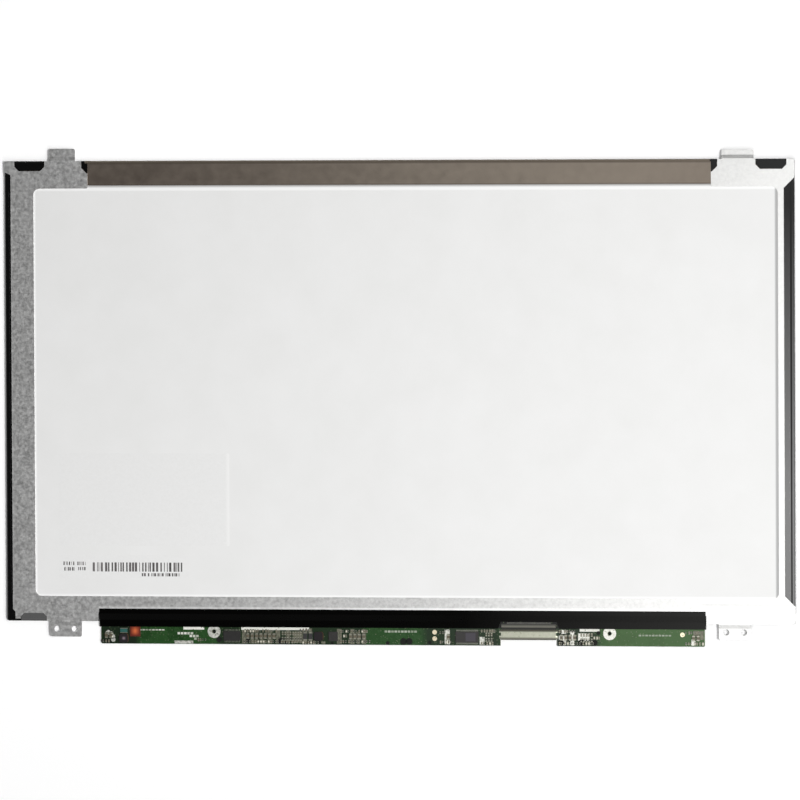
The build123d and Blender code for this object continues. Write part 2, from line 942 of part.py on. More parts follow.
def leaded_chip(label, share, length, width, height, leads, pitch):
    """A moulded package with a row of flat leads along both long sides."""
    middle = (along_board(share), above_bottom(-chip_row_drop))
    with BuildPart() as chip:
        with BuildSketch(Plane.XY.offset(board_back)):
            with Locations(middle):
                Rectangle(length, width)
        extrude(amount=height)
        chamfer(chip.faces().sort_by(Axis.Z)[-1].edges(), package_bevel)
        with BuildSketch(Plane.XY.offset(board_back)):
            with Locations(middle):
                with GridLocations(pitch, width + lead_reach, leads, 2):
                    Rectangle(lead_width, lead_reach)
        extrude(amount=lead_height)
    save(chip, label)


leaded_chip(
    "timing_controller",
    timing_share,
    timing_length,
    timing_width,
    timing_height,
    timing_lead_count,
    timing_pitch,
)
leaded_chip(
    "power_chip",
    power_share,
    power_length,
    power_width,
    power_height,
    power_lead_count,
    power_pitch,
)

# Leadless chip that drives the light bar
with BuildPart() as light_driver_chip:
    with BuildSketch(Plane.XY.offset(board_back)):
        with Locations((along_board(driver_share), above_bottom(-chip_row_drop))):
            Rectangle(driver_side, driver_side)
    extrude(amount=driver_height)
    chamfer(light_driver_chip.faces().sort_by(Axis.Z)[-1].edges(), package_bevel)
save(light_driver_chip, "light_driver_chip")

# Coils: a drum between two square flanges
coil_places = (
    (along_board(first_coil_share), above_bottom(-first_coil_drop)),
    (along_board(second_coil_share), above_bottom(-chip_row_drop)),
)
with BuildPart() as coils:
    for lift, thickness in ((0.0, coil_base), (coil_height - coil_base, coil_base)):
        with BuildSketch(Plane.XY.offset(board_back + lift)) as flange:
            with Locations(*coil_places):
                Rectangle(coil_side, coil_side)
            chamfer(flange.vertices(), coil_corner)
        extrude(amount=thickness)
    with BuildSketch(Plane.XY.offset(board_back + coil_base)):
        with Locations(*coil_places):
            Circle(coil_top / 2)
    extrude(amount=coil_height - 2 * coil_base)
save(coils, "coils")


def row(middle, count, pitch, drop):
    """Places of a row of like parts, side by side along the board."""
    return [(middle + (number - (count - 1) / 2) * pitch, above_bottom(-drop)) for number in range(count)]


def capped_parts(label, places, length, width, height, cap):
    """Two-terminal packages, long side across the board, with a metal cap at each end."""
    with BuildPart() as parts:
        with BuildSketch(Plane.XY.offset(board_back)):
            with Locations(*places):
                Rectangle(width, length)
        extrude(amount=height - cap_proud)
        with BuildSketch(Plane.XY.offset(board_back)):
            for x, y in places:
                with Locations((x, y)):
                    with GridLocations(1, length - cap, 1, 2):
                        Rectangle(width + 2 * cap_proud, cap)
        extrude(amount=height)
    save(parts, label)


# Rows right of the connector start from its feet, and one row stands between it and the timing controller
timing_end = along_board(timing_share) + timing_length / 2
connector_row_start = connector_middle + shell_reach + connector_row_gap + large_width / 2
connector_row_end = connector_row_start + (connector_row_count - 1) * large_pitch
connector_small_start = connector_row_end + large_width / 2 + connector_small_gap
large_rows = (
    (along_board(left_end_share), left_end_count),
    (along_board(power_row_share), power_row_count),
    (along_board(middle_row_share), middle_row_count),
    (along_board(timing_row_share), timing_row_count),
    ((connector_row_start + connector_row_end) / 2, connector_row_count),
    (along_board(right_end_share), right_end_count),
)
small_rows = (
    (along_board(power_small_share), power_small_count),
    ((timing_end + connector_middle - shell_reach) / 2, timing_small_count),
    (connector_small_start + (connector_small_count - 1) / 2 * small_pitch, connector_small_count),
)
capped_parts(
    "large_capacitors",
    [place for middle, count in large_rows for place in row(middle, count, large_pitch, chip_row_drop)],
    large_length,
    large_width,
    large_height,
    large_cap,
)
for label, drop in (
    ("small_capacitors", chip_row_drop - small_row_gap / 2),
    ("chip_resistors", chip_row_drop + small_row_gap / 2),
):
    capped_parts(
        label,
        [place for middle, count in small_rows for place in row(middle, count, small_pitch, drop)],
        small_length,
        small_width,
        small_height,
        small_cap,
    )
capped_parts(
    "rectifiers",
    row(along_board(rectifier_share), rectifier_count, rectifier_pitch, chip_row_drop),
    rectifier_length,
    rectifier_width,
    rectifier_height,
    rectifier_cap,
)
capped_parts(
    "input_fuse",
    [(along_board(fuse_share), above_bottom(-fuse_drop))],
    fuse_width,
    fuse_length,
    fuse_height,
    fuse_cap,
)

# Paper labels on the reflector
label_front = reflector_front + reflector_thickness
for label, left, bottom, width, height in (
    ("blank_label", blank_label_left, blank_label_bottom, blank_label_width, blank_label_height),
    ("code_label", code_label_left, code_label_bottom, code_label_width, code_label_height),
):
    with BuildPart() as paper:
        with BuildSketch(Plane.XY.offset(label_front)):
            with Locations(
                (
                    from_left(window_left + left) + width / 2,
                    above_bottom(window_bottom + bottom) + height / 2,
                )
            ):
                RectangleRounded(width, height, label_corner)
        extrude(amount=label_thickness)
    save(paper, label)
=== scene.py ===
"""Looks of a slim laptop screen panel that lies on its display face, with its back to the camera.

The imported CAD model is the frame: every piece is in metres and in its place. The sections follow the
panel as it is put together, from the liquid crystal cell to the labels on its back.
"""

import math

import bmesh
import bpy
from mathutils import Matrix, Vector


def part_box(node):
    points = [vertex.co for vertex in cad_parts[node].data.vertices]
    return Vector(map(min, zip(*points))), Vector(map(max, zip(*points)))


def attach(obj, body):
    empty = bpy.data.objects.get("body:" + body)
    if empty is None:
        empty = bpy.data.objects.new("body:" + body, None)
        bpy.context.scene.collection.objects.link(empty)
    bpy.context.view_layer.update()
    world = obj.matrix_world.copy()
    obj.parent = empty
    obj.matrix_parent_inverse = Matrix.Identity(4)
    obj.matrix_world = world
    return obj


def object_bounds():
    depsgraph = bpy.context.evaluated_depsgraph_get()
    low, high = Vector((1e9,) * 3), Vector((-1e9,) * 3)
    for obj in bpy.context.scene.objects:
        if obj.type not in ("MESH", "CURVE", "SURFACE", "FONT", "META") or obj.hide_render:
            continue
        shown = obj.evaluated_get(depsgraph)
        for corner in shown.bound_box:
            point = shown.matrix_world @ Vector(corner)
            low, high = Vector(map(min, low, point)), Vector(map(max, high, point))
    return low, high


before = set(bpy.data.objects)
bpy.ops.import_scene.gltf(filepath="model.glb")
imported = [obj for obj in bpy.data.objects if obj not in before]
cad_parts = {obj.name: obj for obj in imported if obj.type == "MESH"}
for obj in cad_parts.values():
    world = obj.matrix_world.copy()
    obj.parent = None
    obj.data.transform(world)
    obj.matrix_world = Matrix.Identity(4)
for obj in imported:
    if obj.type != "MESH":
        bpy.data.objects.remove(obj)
cad_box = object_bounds()
mm = 0.001

# Liquid crystal cell
# Two panes of thin glass with the crystal between them, and a polarizer film laminated to each side.
# The front film has an anti-glare satin. The lower pane is longer: its ledge carries the bonding traces.


def feed(tree, socket, value):
    """Links a socket to another one, or sets it to a plain value."""
    if isinstance(value, bpy.types.NodeSocket):
        tree.links.new(value, socket)
    else:
        socket.default_value = value


def node(tree, kind, **inputs):
    """A new node. Each keyword feeds the input of that name."""
    made = tree.nodes.new(kind)
    for name, value in inputs.items():
        feed(tree, made.inputs[name.replace("_", " ")], value)
    return made


def compute(tree, operation, *values):
    """The result of a Math node for numbers or sockets."""
    made = tree.nodes.new("ShaderNodeMath")
    made.operation = operation
    for socket, value in zip(made.inputs, values):
        feed(tree, socket, value)
    return made.outputs[0]


def mix(tree, kind, factor, first, second):
    """A mix of two colours (kind RGBA) or of two numbers (kind FLOAT)."""
    made = tree.nodes.new("ShaderNodeMix")
    made.data_type = kind
    feed(tree, made.inputs["Factor"], factor)
    socket_type = "RGBA" if kind == "RGBA" else "VALUE"
    ends = [socket for socket in made.inputs if socket.name in "AB" and socket.type == socket_type]
    for socket, value in zip(ends, (first, second)):
        if kind == "RGBA" and not isinstance(value, bpy.types.NodeSocket):
            value = (*tuple(value)[:3], 1.0)
        feed(tree, socket, value)
    return next(socket for socket in made.outputs if socket.type == socket_type)


def new_group(name, kind, output, **inputs):
    """An empty node group with an output and its named inputs, what it is given, and its result."""
    tree = bpy.data.node_groups.new(name, kind + "NodeTree")
    for label, socket in inputs.items():
        tree.interface.new_socket(label, in_out="INPUT", socket_type="NodeSocket" + socket)
    socket = "Geometry" if kind == "Geometry" else "Float"
    tree.interface.new_socket(output, in_out="OUTPUT", socket_type="NodeSocket" + socket)
    return tree, tree.nodes.new("NodeGroupInput").outputs, tree.nodes.new("NodeGroupOutput").inputs[0]


# Shared effect: a fine cloudy grain from 0 to 1
speckle, given, result = new_group(
    "speckle", "Shader", "Mask", Place="Vector", Scale="Float", Contrast="Float"
)
clouds = node(
    speckle, "ShaderNodeTexNoise", Vector=given["Place"], Scale=given["Scale"], Detail=4.0, Roughness=0.62
)
centred = compute(speckle, "SUBTRACT", clouds.outputs["Fac"], 0.5)
stretched = compute(speckle, "MULTIPLY_ADD", centred, given["Contrast"], 0.5)
held = node(speckle, "ShaderNodeClamp", Value=stretched)
speckle.links.new(held.outputs["Result"], result)

# Shared effect: 1 between two values and 0 outside, with softened edges
span, given, result = new_group(
    "span", "Shader", "Mask", Value="Float", Low="Float", High="Float", Soft="Float"
)
rise = node(
    span,
    "ShaderNodeMapRange",
    Value=given["Value"],
    From_Min=compute(span, "SUBTRACT", given["Low"], given["Soft"]),
    From_Max=compute(span, "ADD", given["Low"], given["Soft"]),
)
fall = node(
    span,
    "ShaderNodeMapRange",
    Value=given["Value"],
    From_Min=compute(span, "SUBTRACT", given["High"], given["Soft"]),
    From_Max=compute(span, "ADD", given["High"], given["Soft"]),
    To_Min=1.0,
    To_Max=0.0,
)
both = compute(span, "MULTIPLY", rise.outputs["Result"], fall.outputs["Result"])
span.links.new(both, result)


def use_group(tree, group, **inputs):
    """A group's output, with its inputs set or linked."""
    made = tree.nodes.new("ShaderNodeGroup")
    made.node_tree = group
    for name, value in inputs.items():
        feed(tree, made.inputs[name], value)
    return made.outputs[0]


grain_depth = 0.05 * mm


def speckled(name, dark, light, scale, rough, bump=0.0, contrast=2.0, metallic=0.0, specular=0.5):
    """A finish whose colour and roughness wander between two values; scale is in grains to the metre."""
    material = bpy.data.materials.new(name)
    material.use_nodes = True
    tree = material.node_tree
    shader = tree.nodes["Principled BSDF"]
    place = node(tree, "ShaderNodeTexCoord")
    place.name = "Place"
    axes = node(tree, "ShaderNodeSeparateXYZ", Vector=place.outputs["Object"])
    axes.name = "Axes"
    grain = use_group(tree, speckle, Place=place.outputs["Object"], Scale=scale, Contrast=contrast)
    tree.links.new(mix(tree, "RGBA", grain, dark, light), shader.inputs["Base Color"])
    tree.links.new(mix(tree, "FLOAT", grain, rough[0], rough[1]), shader.inputs["Roughness"])
    shader.inputs["Metallic"].default_value = metallic
    shader.inputs["Specular IOR Level"].default_value = specular
    if bump:
        relief = node(tree, "ShaderNodeBump", Height=grain, Strength=bump, Distance=grain_depth)
        tree.links.new(relief.outputs["Normal"], shader.inputs["Normal"])
    return material


crisp = 0.02 * mm


def band(material, axis, low, high, soft=crisp):
    """A mask that is 1 where the object's coordinate on an axis lies between two values."""
    value = material.node_tree.nodes["Axes"].outputs[axis]
    return use_group(material.node_tree, span, Value=value, Low=low, High=high, Soft=soft)


def stripes(material, axis, pitch, share):
    """A mask of even stripes across an axis; share is the part of each pitch that is 1."""
    tree = material.node_tree
    step = compute(tree, "DIVIDE", tree.nodes["Axes"].outputs[axis], pitch)
    return compute(tree, "LESS_THAN", compute(tree, "FRACT", step), share)


def overlap(material, first, second):
    """The product of two masks, or of a mask and a share."""
    return compute(material.node_tree, "MULTIPLY", first, second)


def rectangle(material, low, high, soft=crisp):
    """A mask that is 1 inside a rectangle, given its low and high corner in X and Y."""
    across = band(material, "X", low[0], high[0], soft)
    return overlap(material, across, band(material, "Y", low[1], high[1], soft))


def outside(material, mask):
    """A mask that is 1 where another is 0."""
    return compute(material.node_tree, "SUBTRACT", 1.0, mask)


def paint_over(material, mask, colour, rough=None, metallic=None):
    """Another finish over a material, where the mask is 1."""
    tree = material.node_tree
    shader = tree.nodes["Principled BSDF"]
    for name, kind, value in (
        ("Base Color", "RGBA", colour),
        ("Roughness", "FLOAT", rough),
        ("Metallic", "FLOAT", metallic),
    ):
        if value is None:
            continue
        socket = shader.inputs[name]
        under = socket.links[0].from_socket if socket.is_linked else socket.default_value
        tree.links.new(mix(tree, kind, mask, under, value), socket)


def dress(material, *names):
    """Gives CAD nodes their finish."""
    for name in names:
        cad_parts[name].material_slots[0].material = material


inset = Vector((2.0, 2.0, 0.0)) * mm
film_low, film_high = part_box("front_polarizer")
antiglare_film = speckled(
    "antiglare_film", (0.011, 0.012, 0.014), (0.018, 0.019, 0.022), 9000.0, (0.30, 0.38), bump=0.08
)
border = outside(antiglare_film, rectangle(antiglare_film, film_low + inset, film_high - inset))
paint_over(antiglare_film, border, (0.004, 0.004, 0.005), rough=0.22)
dress(antiglare_film, "front_polarizer", "rear_polarizer")

trace_pitch = 0.25 * mm
cell_glass = speckled("cell_glass", (0.010, 0.014, 0.013), (0.018, 0.023, 0.021), 400.0, (0.04, 0.09))
ledge_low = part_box("array_glass")[0].y
ledge_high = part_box("colour_filter_glass")[0].y
ledge = band(cell_glass, "Y", ledge_low, ledge_high)
traces = overlap(cell_glass, ledge, stripes(cell_glass, "X", trace_pitch, 0.45))
paint_over(cell_glass, traces, (0.30, 0.28, 0.22), rough=0.3, metallic=0.9)
dress(cell_glass, "colour_filter_glass", "array_glass")

# Driver films and their chips
# Amber polyimide films with fine copper leads, bonded to the glass ledge and to the circuit board.
# Each carries one bare silicon chip, long and narrow.
film_polyimide = speckled("film_polyimide", (0.20, 0.075, 0.012), (0.28, 0.11, 0.02), 900.0, (0.30, 0.42))
paint_over(film_polyimide, stripes(film_polyimide, "X", trace_pitch, 0.5), (0.42, 0.17, 0.045), rough=0.34)
bare_silicon = speckled("bare_silicon", (0.035, 0.037, 0.045), (0.06, 0.062, 0.07), 1200.0, (0.14, 0.24))
dress(film_polyimide, *(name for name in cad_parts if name.startswith("driver_film")))
dress(bare_silicon, *(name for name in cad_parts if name.startswith("driver_chip")))

# Rim tape
# A die-cut frame of grey double-sided tape that holds the cell on the ledge of the moulded frame.
rim_adhesive = speckled("rim_adhesive", (0.06, 0.06, 0.062), (0.10, 0.10, 0.10), 700.0, (0.6, 0.75))
dress(rim_adhesive, "rim_tape")

# Moulded frame
# Black polycarbonate, injection moulded with a fine spark-eroded texture. Its rails show at both sides,
# the right one smoother towards its lower end, and its hooks come up through the slots of the steel frame.
rail_low, rail_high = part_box("mould_frame")
flex_low, flex_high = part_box("light_bar_flex")
mould_black = speckled(
    "mould_black",
    (0.001, 0.001, 0.001),
    (0.003, 0.003, 0.003),
    3500.0,
    (0.20, 0.28),
    bump=0.06,
    specular=0.25,
)
tree = mould_black.node_tree
shader = tree.nodes["Principled BSDF"]
smooth_end = band(mould_black, "Y", rail_low.y - 80.0 * mm, rail_high.y - 85.0 * mm, soft=65.0 * mm)
rail_groove = band(mould_black, "X", rail_high.x - 1.9 * mm, rail_high.x - 1.2 * mm, soft=0.15 * mm)
right_rail = band(mould_black, "X", 0.0, rail_high.x + mm)
coated = overlap(mould_black, right_rail, compute(tree, "SUBTRACT", smooth_end, rail_groove))
tree.links.new(coated, shader.inputs["Coat Weight"])
shader.inputs["Coat Roughness"].default_value = 0.2
shader.inputs["Coat IOR"].default_value = 2.05
paint_over(mould_black, rail_groove, (0.002, 0.002, 0.002), rough=0.6)

# Brown film over the top wall, a grey foot at the lower left and foil at the lower right corner
wall = rectangle(mould_black, (-142.7 * mm, flex_high.y), (141.8 * mm, rail_high.y + mm))
paint_over(mould_black, wall, (0.150, 0.126, 0.099), rough=0.4, metallic=0.75)
foot_top = rail_low.y + 4.6 * mm
foot = rectangle(mould_black, (-173.3 * mm, rail_low.y - mm), (-160.0 * mm, foot_top))
paint_over(mould_black, foot, (0.085, 0.085, 0.085), rough=0.5)
foil = rectangle(mould_black, (rail_high.x - 7.0 * mm, rail_low.y - mm), (rail_high.x + mm, foot_top))
paint_over(mould_black, foil, (0.72, 0.72, 0.71), rough=0.42, metallic=1.0)
dress(mould_black, "mould_frame")

# Optical sheets and light guide
# Two prism films, a diffuser film and a plate of clear acrylic, laid loose in the moulded frame.
# They lie hidden between the cell and the reflector.
optical_film = speckled("optical_film", (0.74, 0.76, 0.78), (0.82, 0.84, 0.86), 1500.0, (0.24, 0.34))
paint_over(optical_film, stripes(optical_film, "Y", 0.1 * mm, 0.5), (0.80, 0.82, 0.84), rough=0.16)
dress(optical_film, "upper_prism_sheet", "lower_prism_sheet", "diffuser_sheet")
clear_acrylic = speckled("clear_acrylic", (0.93, 0.95, 0.95), (0.97, 0.98, 0.98), 600.0, (0.03, 0.08))
shader = clear_acrylic.node_tree.nodes["Principled BSDF"]
shader.inputs["Transmission Weight"].default_value = 1.0
shader.inputs["IOR"].default_value = 1.49
dress(clear_acrylic, "light_guide")

# Reflector sheet
# A white foamed polyester film behind the light guide. It fills the steel frame's window,
# lies a little wavy, and has a faint cloudiness from its tiny voids. A painted highlight makes it whiter
# along the window's edge. A grey band of painted shadow lies along its right side, and one of painted
# shade along its top.
reflector_white = speckled(
    "reflector_white",
    (0.80, 0.80, 0.79),
    (0.84, 0.84, 0.835),
    45.0,
    (0.42, 0.52),
    contrast=1.6,
    specular=0.35,
)
tree = reflector_white.node_tree
wave = use_group(tree, speckle, Place=tree.nodes["Place"].outputs["Object"], Scale=14.0, Contrast=1.0)
relief = node(tree, "ShaderNodeBump", Height=wave, Strength=0.25, Distance=1.0 * mm)
tree.links.new(relief.outputs["Normal"], tree.nodes["Principled BSDF"].inputs["Normal"])
window_low = Vector((-166.45, -90.4)) * mm
window_high = Vector((172.4, 93.7)) * mm
hem = Vector((0.9, 0.9)) * mm
# Painted highlight: the sheet is painted whiter along the window's edge and outside it.
within = rectangle(reflector_white, window_low + hem, window_high - hem, soft=0.3 * mm)
paint_over(reflector_white, outside(reflector_white, within), (0.93, 0.93, 0.925))
# Painted shadow: a grey band along the right edge of the window.
right_edge_shadow = band(reflector_white, "X", window_high.x - 1.3 * mm, window_high.x + 5.0 * mm, soft=0.35 * mm)
paint_over(reflector_white, right_edge_shadow, (0.42, 0.42, 0.42))
# Painted shade: a darker band along the top edge of the window.
top_edge_shade = band(reflector_white, "Y", window_high.y + 0.9 * mm, window_high.y + 20.0 * mm, soft=0.6 * mm)
paint_over(reflector_white, top_edge_shade, (0.30, 0.29, 0.28))
dress(reflector_white, "reflector_sheet")

# Light bar
# A long flex circuit along the top edge: brown cover film over copper, which gives it a metal sheen.
# Its tail runs down the left side under the steel and ends, bare amber film, on the circuit board.
strip_height = 9.95 * mm
strip_border = 0.45 * mm
brown_flex = speckled(
    "brown_flex",
    (0.128, 0.104, 0.086),
    (0.156, 0.130, 0.107),
    260.0,
    (0.36, 0.44),
    metallic=0.75,
    specular=0.4,
)
# Painted sheen: the film is painted paler over its middle and right part.
sheen_to_right = band(brown_flex, "X", -10.0 * mm, 110.0 * mm, soft=110.0 * mm)
paint_over(brown_flex, sheen_to_right, (0.285, 0.246, 0.200))
copper_edge = band(
    brown_flex, "Y", flex_high.y - strip_height + strip_border, flex_high.y - strip_border, soft=0.15 * mm
)
bare_edge = outside(brown_flex, copper_edge)
paint_over(brown_flex, overlap(brown_flex, bare_edge, 0.5), (0.070, 0.056, 0.045), rough=0.5)
board_low, board_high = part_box("circuit_board")
tail_end = band(brown_flex, "Y", flex_low.y - mm, board_high.y + 0.5 * mm)
paint_over(brown_flex, tail_end, (0.11, 0.012, 0.006), rough=0.35, metallic=0.0)
tail_middle = band(brown_flex, "X", -122.1 * mm, -119.9 * mm, soft=1.0 * mm)
tail_bare = band(brown_flex, "Y", flex_low.y + 1.2 * mm, flex_low.y + 3.8 * mm, soft=0.9 * mm)
paint_over(brown_flex, overlap(brown_flex, tail_middle, tail_bare), (0.60, 0.13, 0.042))
dress(brown_flex, "light_bar_flex")

# Diodes of the light bar
# White plastic packages on the front of the flex, each with a yellow phosphor window to the light guide.
diode_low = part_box("light_bar_diodes")[0]
diode_white = speckled("diode_white", (0.74, 0.74, 0.72), (0.82, 0.82, 0.80), 2500.0, (0.45, 0.55))
window = band(diode_white, "Y", diode_low.y - mm, diode_low.y + 0.25 * mm)
paint_over(diode_white, window, (0.78, 0.56, 0.06), rough=0.4)
dress(diode_white, "light_bar_diodes")

# Steel frame
# Zinc-coated sheet steel, 0.3 mm thick, pierced and folded from one blank. The coating has a fine mottled
# spangle, smoother to the right. Painted highlights lie above the tape and along the left fold, and a line
# of painted shade marks a crease at the lower right.
frame_steel = speckled(
    "frame_steel",
    (0.47, 0.47, 0.465),
    (0.79, 0.79, 0.78),
    780.0,
    (0.335, 0.42),
    bump=0.12,
    contrast=2.4,
    metallic=1.0,
)
tree = frame_steel.node_tree
steel_place = tree.nodes["Place"].outputs["Object"]
spangle = node(tree, "ShaderNodeTexVoronoi", Vector=steel_place, Scale=760.0, Randomness=1.0)
facet = node(tree, "ShaderNodeSeparateColor", Color=spangle.outputs["Color"])
facet_mask = overlap(frame_steel, facet.outputs["Red"], 0.4)
paint_over(frame_steel, facet_mask, (0.74, 0.74, 0.73))
smoother = band(frame_steel, "X", 40.0 * mm, 400.0 * mm, soft=120.0 * mm)
paint_over(frame_steel, overlap(frame_steel, smoother, 0.75), (0.640, 0.640, 0.630))
tape_low, tape_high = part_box("board_cover_tape")
# Painted highlight: a bright band on the steel just above the tape's edge.
highlight_height = band(frame_steel, "Y", tape_high.y, tape_high.y + 0.9 * mm, soft=0.3 * mm)
highlight_length = band(frame_steel, "X", tape_low.x, tape_high.x)
tape_edge_highlight = overlap(frame_steel, highlight_height, highlight_length)
paint_over(frame_steel, tape_edge_highlight, (0.97, 0.97, 0.96))
# Painted shade: a darker line along a crease at the lower right.
crease_shade_height = band(frame_steel, "Y", -93.2 * mm, -92.8 * mm, soft=0.25 * mm)
crease_shade_length = band(frame_steel, "X", 138.0 * mm, 179.0 * mm, soft=2.0 * mm)
crease_shade = overlap(frame_steel, crease_shade_height, crease_shade_length)
paint_over(frame_steel, overlap(frame_steel, crease_shade, 0.35), (0.30, 0.30, 0.30))
# Painted highlight: a paler band along the left fold.
fold_highlight = band(frame_steel, "X", -177.6 * mm, -176.4 * mm, soft=0.4 * mm)
paint_over(frame_steel, overlap(frame_steel, fold_highlight, 0.6), (0.84, 0.84, 0.83))
dress(frame_steel, "back_frame")

# Circuit board
# Thin glass-fibre board with green solder mask over copper traces. White ink, tinned rings round the two
# holes, gold test pads and small plated vias are on its back.
board_top = board_high.z
solder_mask = speckled(
    "solder_mask",
    (0.008, 0.036, 0.008),
    (0.020, 0.064, 0.015),
    500.0,
    (0.22, 0.32),
    contrast=1.4,
    specular=0.32,
)
tree = solder_mask.node_tree
board_place = tree.nodes["Place"].outputs["Object"]
patches = node(tree, "ShaderNodeTexVoronoi", Vector=board_place, Scale=160.0, Randomness=1.0)
patches.distance = "CHEBYCHEV"
patch = node(tree, "ShaderNodeSeparateColor", Color=patches.outputs["Color"])
lengthwise = compute(tree, "GREATER_THAN", patch.outputs["Red"], 0.62)
crosswise = compute(tree, "LESS_THAN", patch.outputs["Red"], 0.30)
rows = overlap(solder_mask, lengthwise, stripes(solder_mask, "Y", 0.4 * mm, 0.5))
columns = overlap(solder_mask, crosswise, stripes(solder_mask, "X", 0.4 * mm, 0.5))
tracks = compute(tree, "MAXIMUM", rows, columns)
paint_over(solder_mask, tracks, (0.024, 0.076, 0.020), rough=0.24)
copper_pour = band(solder_mask, "X", 92.0 * mm, 142.0 * mm, soft=5.0 * mm)
paint_over(solder_mask, overlap(solder_mask, copper_pour, 0.4), (0.078, 0.165, 0.044), rough=0.24)
for left, right, share in (
    (-137.0, -119.5, 0.95),
    (-82.5, -16.0, 0.8),
    (11.5, 46.0, 0.8),
    (71.0, 90.5, 0.8),
):
    crowded = band(solder_mask, "X", left * mm, right * mm, soft=1.5 * mm)
    paint_over(solder_mask, overlap(solder_mask, crowded, share), (0.006, 0.014, 0.006), rough=0.3)
# Painted shade: the board is near black under the tape's edge.
under_tape_shade = band(solder_mask, "Y", tape_low.y + 0.15 * mm, board_high.y + mm, soft=0.1 * mm)
paint_over(solder_mask, under_tape_shade, (0.004, 0.004, 0.004), rough=0.6)
cut_edge = band(solder_mask, "Z", board_low.z + 0.05 * mm, board_top - 0.05 * mm)
paint_over(solder_mask, cut_edge, (0.30, 0.27, 0.13), rough=0.7)
dress(solder_mask, "circuit_board")

# White ink on the board
# Screen-printed epoxy ink: bars along the tape, and rows of short dashes that mark parts and pads.
ink_height = 0.02 * mm
ink_bar = 1.2 * mm
dash_length = 1.15 * mm
dash_pitch = 1.5 * mm


def as_mesh(name, shape):
    """The mesh of a bmesh, which is used up. A mesh stays as it is."""
    if isinstance(shape, bpy.types.Mesh):
        return shape
    mesh = bpy.data.meshes.new(name)
    shape.to_mesh(mesh)
    shape.free()
    return mesh


def add_object(name, data):
    """A new object in the scene for a mesh, a lamp or a camera."""
    made = bpy.data.objects.new(name, data)
    bpy.context.scene.collection.objects.link(made)
    return made


def new_piece(name, shape, material):
    """A finished piece from a bmesh or a mesh, which rides on the panel."""
    mesh = as_mesh(name, shape)
    if not mesh.materials:
        mesh.materials.append(material)
    piece = add_object(name, mesh)
    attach(piece, "root")


def plate(shape, left, right, lower, upper, floor, thickness):
    """A thin rectangular plate between two X and two Y values."""
    corners = [
        shape.verts.new((x, y, z))
        for z in (floor, floor + thickness)
        for x, y in ((left, lower), (right, lower), (right, upper), (left, upper))
    ]
    shape.faces.new(corners[3::-1])
    shape.faces.new(corners[4:])
    for start in range(4):
        end = (start + 1) % 4
        shape.faces.new((corners[start], corners[end], corners[end + 4], corners[start + 4]))


def read_attribute(material, name):
    """A number that the mesh carries, by name."""
    reader = material.node_tree.nodes.new("ShaderNodeAttribute")
    reader.attribute_name = name
    return reader.outputs["Fac"]


silk_ink = speckled("silk_ink", (0.62, 0.63, 0.56), (0.84, 0.84, 0.79), 1800.0, (0.55, 0.7))
worn_ink = overlap(silk_ink, read_attribute(silk_ink, "shade"), 0.75)
paint_over(silk_ink, worn_ink, (0.16, 0.19, 0.12))
for left, right in ((-10.0, 20.0), (100.0, 140.0)):
    faded = band(silk_ink, "X", left * mm, right * mm)
    paint_over(silk_ink, overlap(silk_ink, faded, 0.6), (0.14, 0.20, 0.12))


def chance_share(tree, seed):
    """A chance number from 0 to 1 for each point or instance."""
    chance = node(tree, "FunctionNodeRandomValue", Seed=seed)
    return next(socket for socket in chance.outputs if socket.type == "VALUE")


def tag_shade(tree, instances, share):
    """Instances that carry a number, which their finish reads as their shade."""
    tagged = tree.nodes.new("GeometryNodeStoreNamedAttribute")
    tagged.data_type = "FLOAT"
    tagged.domain = "INSTANCE"
    tagged.inputs["Name"].default_value = "shade"
    tree.links.new(instances, tagged.inputs["Geometry"])
    tree.links.new(share, tagged.inputs["Value"])
    return tagged.outputs["Geometry"]


def close_tree(tree, instances, finish, result):
    """Ends a geometry tree: its instances become real geometry in one finish."""
    solid = node(tree, "GeometryNodeRealizeInstances", Geometry=instances)
    done = node(tree, "GeometryNodeSetMaterial", Geometry=solid.outputs["Geometry"], Material=finish)
    tree.links.new(done.outputs["Geometry"], result)


# Geometry tree: a shape repeated in a straight row, each with its own shade
row_of_shapes, given, result = new_group(
    "row_of_shapes",
    "Geometry",
    "Row",
    Shape="Geometry",
    Start="Vector",
    Pitch="Float",
    Count="Int",
    Scatter="Float",
    Seed="Int",
    Finish="Material",
)
tree = row_of_shapes
step = node(tree, "ShaderNodeCombineXYZ", X=given["Pitch"])
line = node(
    tree,
    "GeometryNodeMeshLine",
    Count=given["Count"],
    Start_Location=given["Start"],
    Offset=step.outputs["Vector"],
)
share = chance_share(tree, given["Seed"])
uneven = compute(tree, "SUBTRACT", share, 0.5)
swing = compute(tree, "MULTIPLY", uneven, given["Scatter"])
shift = compute(tree, "MULTIPLY", swing, given["Pitch"])
drift = node(tree, "ShaderNodeCombineXYZ", X=shift)
moved = node(
    tree, "GeometryNodeSetPosition", Geometry=line.outputs["Mesh"], Offset=drift.outputs["Vector"]
)
copies = node(
    tree,
    "GeometryNodeInstanceOnPoints",
    Points=moved.outputs["Geometry"],
    Instance=given["Shape"],
    Scale=compute(tree, "ADD", swing, 1.0),
)
tagged = tag_shade(tree, copies.outputs["Instances"], share)
close_tree(tree, tagged, given["Finish"], result)


def grow(shape, tree, **inputs):
    """The plain mesh that a geometry tree makes from a shape, with the tree's inputs set by name."""
    host = add_object(tree.name, as_mesh(tree.name, shape))
    modifier = host.modifiers.new(tree.name, "NODES")
    modifier.node_group = tree
    for socket in tree.interface.items_tree:
        if socket.in_out == "INPUT" and socket.name in inputs:
            modifier[socket.identifier] = inputs[socket.name]
    made = bpy.data.meshes.new_from_object(host.evaluated_get(bpy.context.evaluated_depsgraph_get()))
    bpy.data.objects.remove(host)
    return made


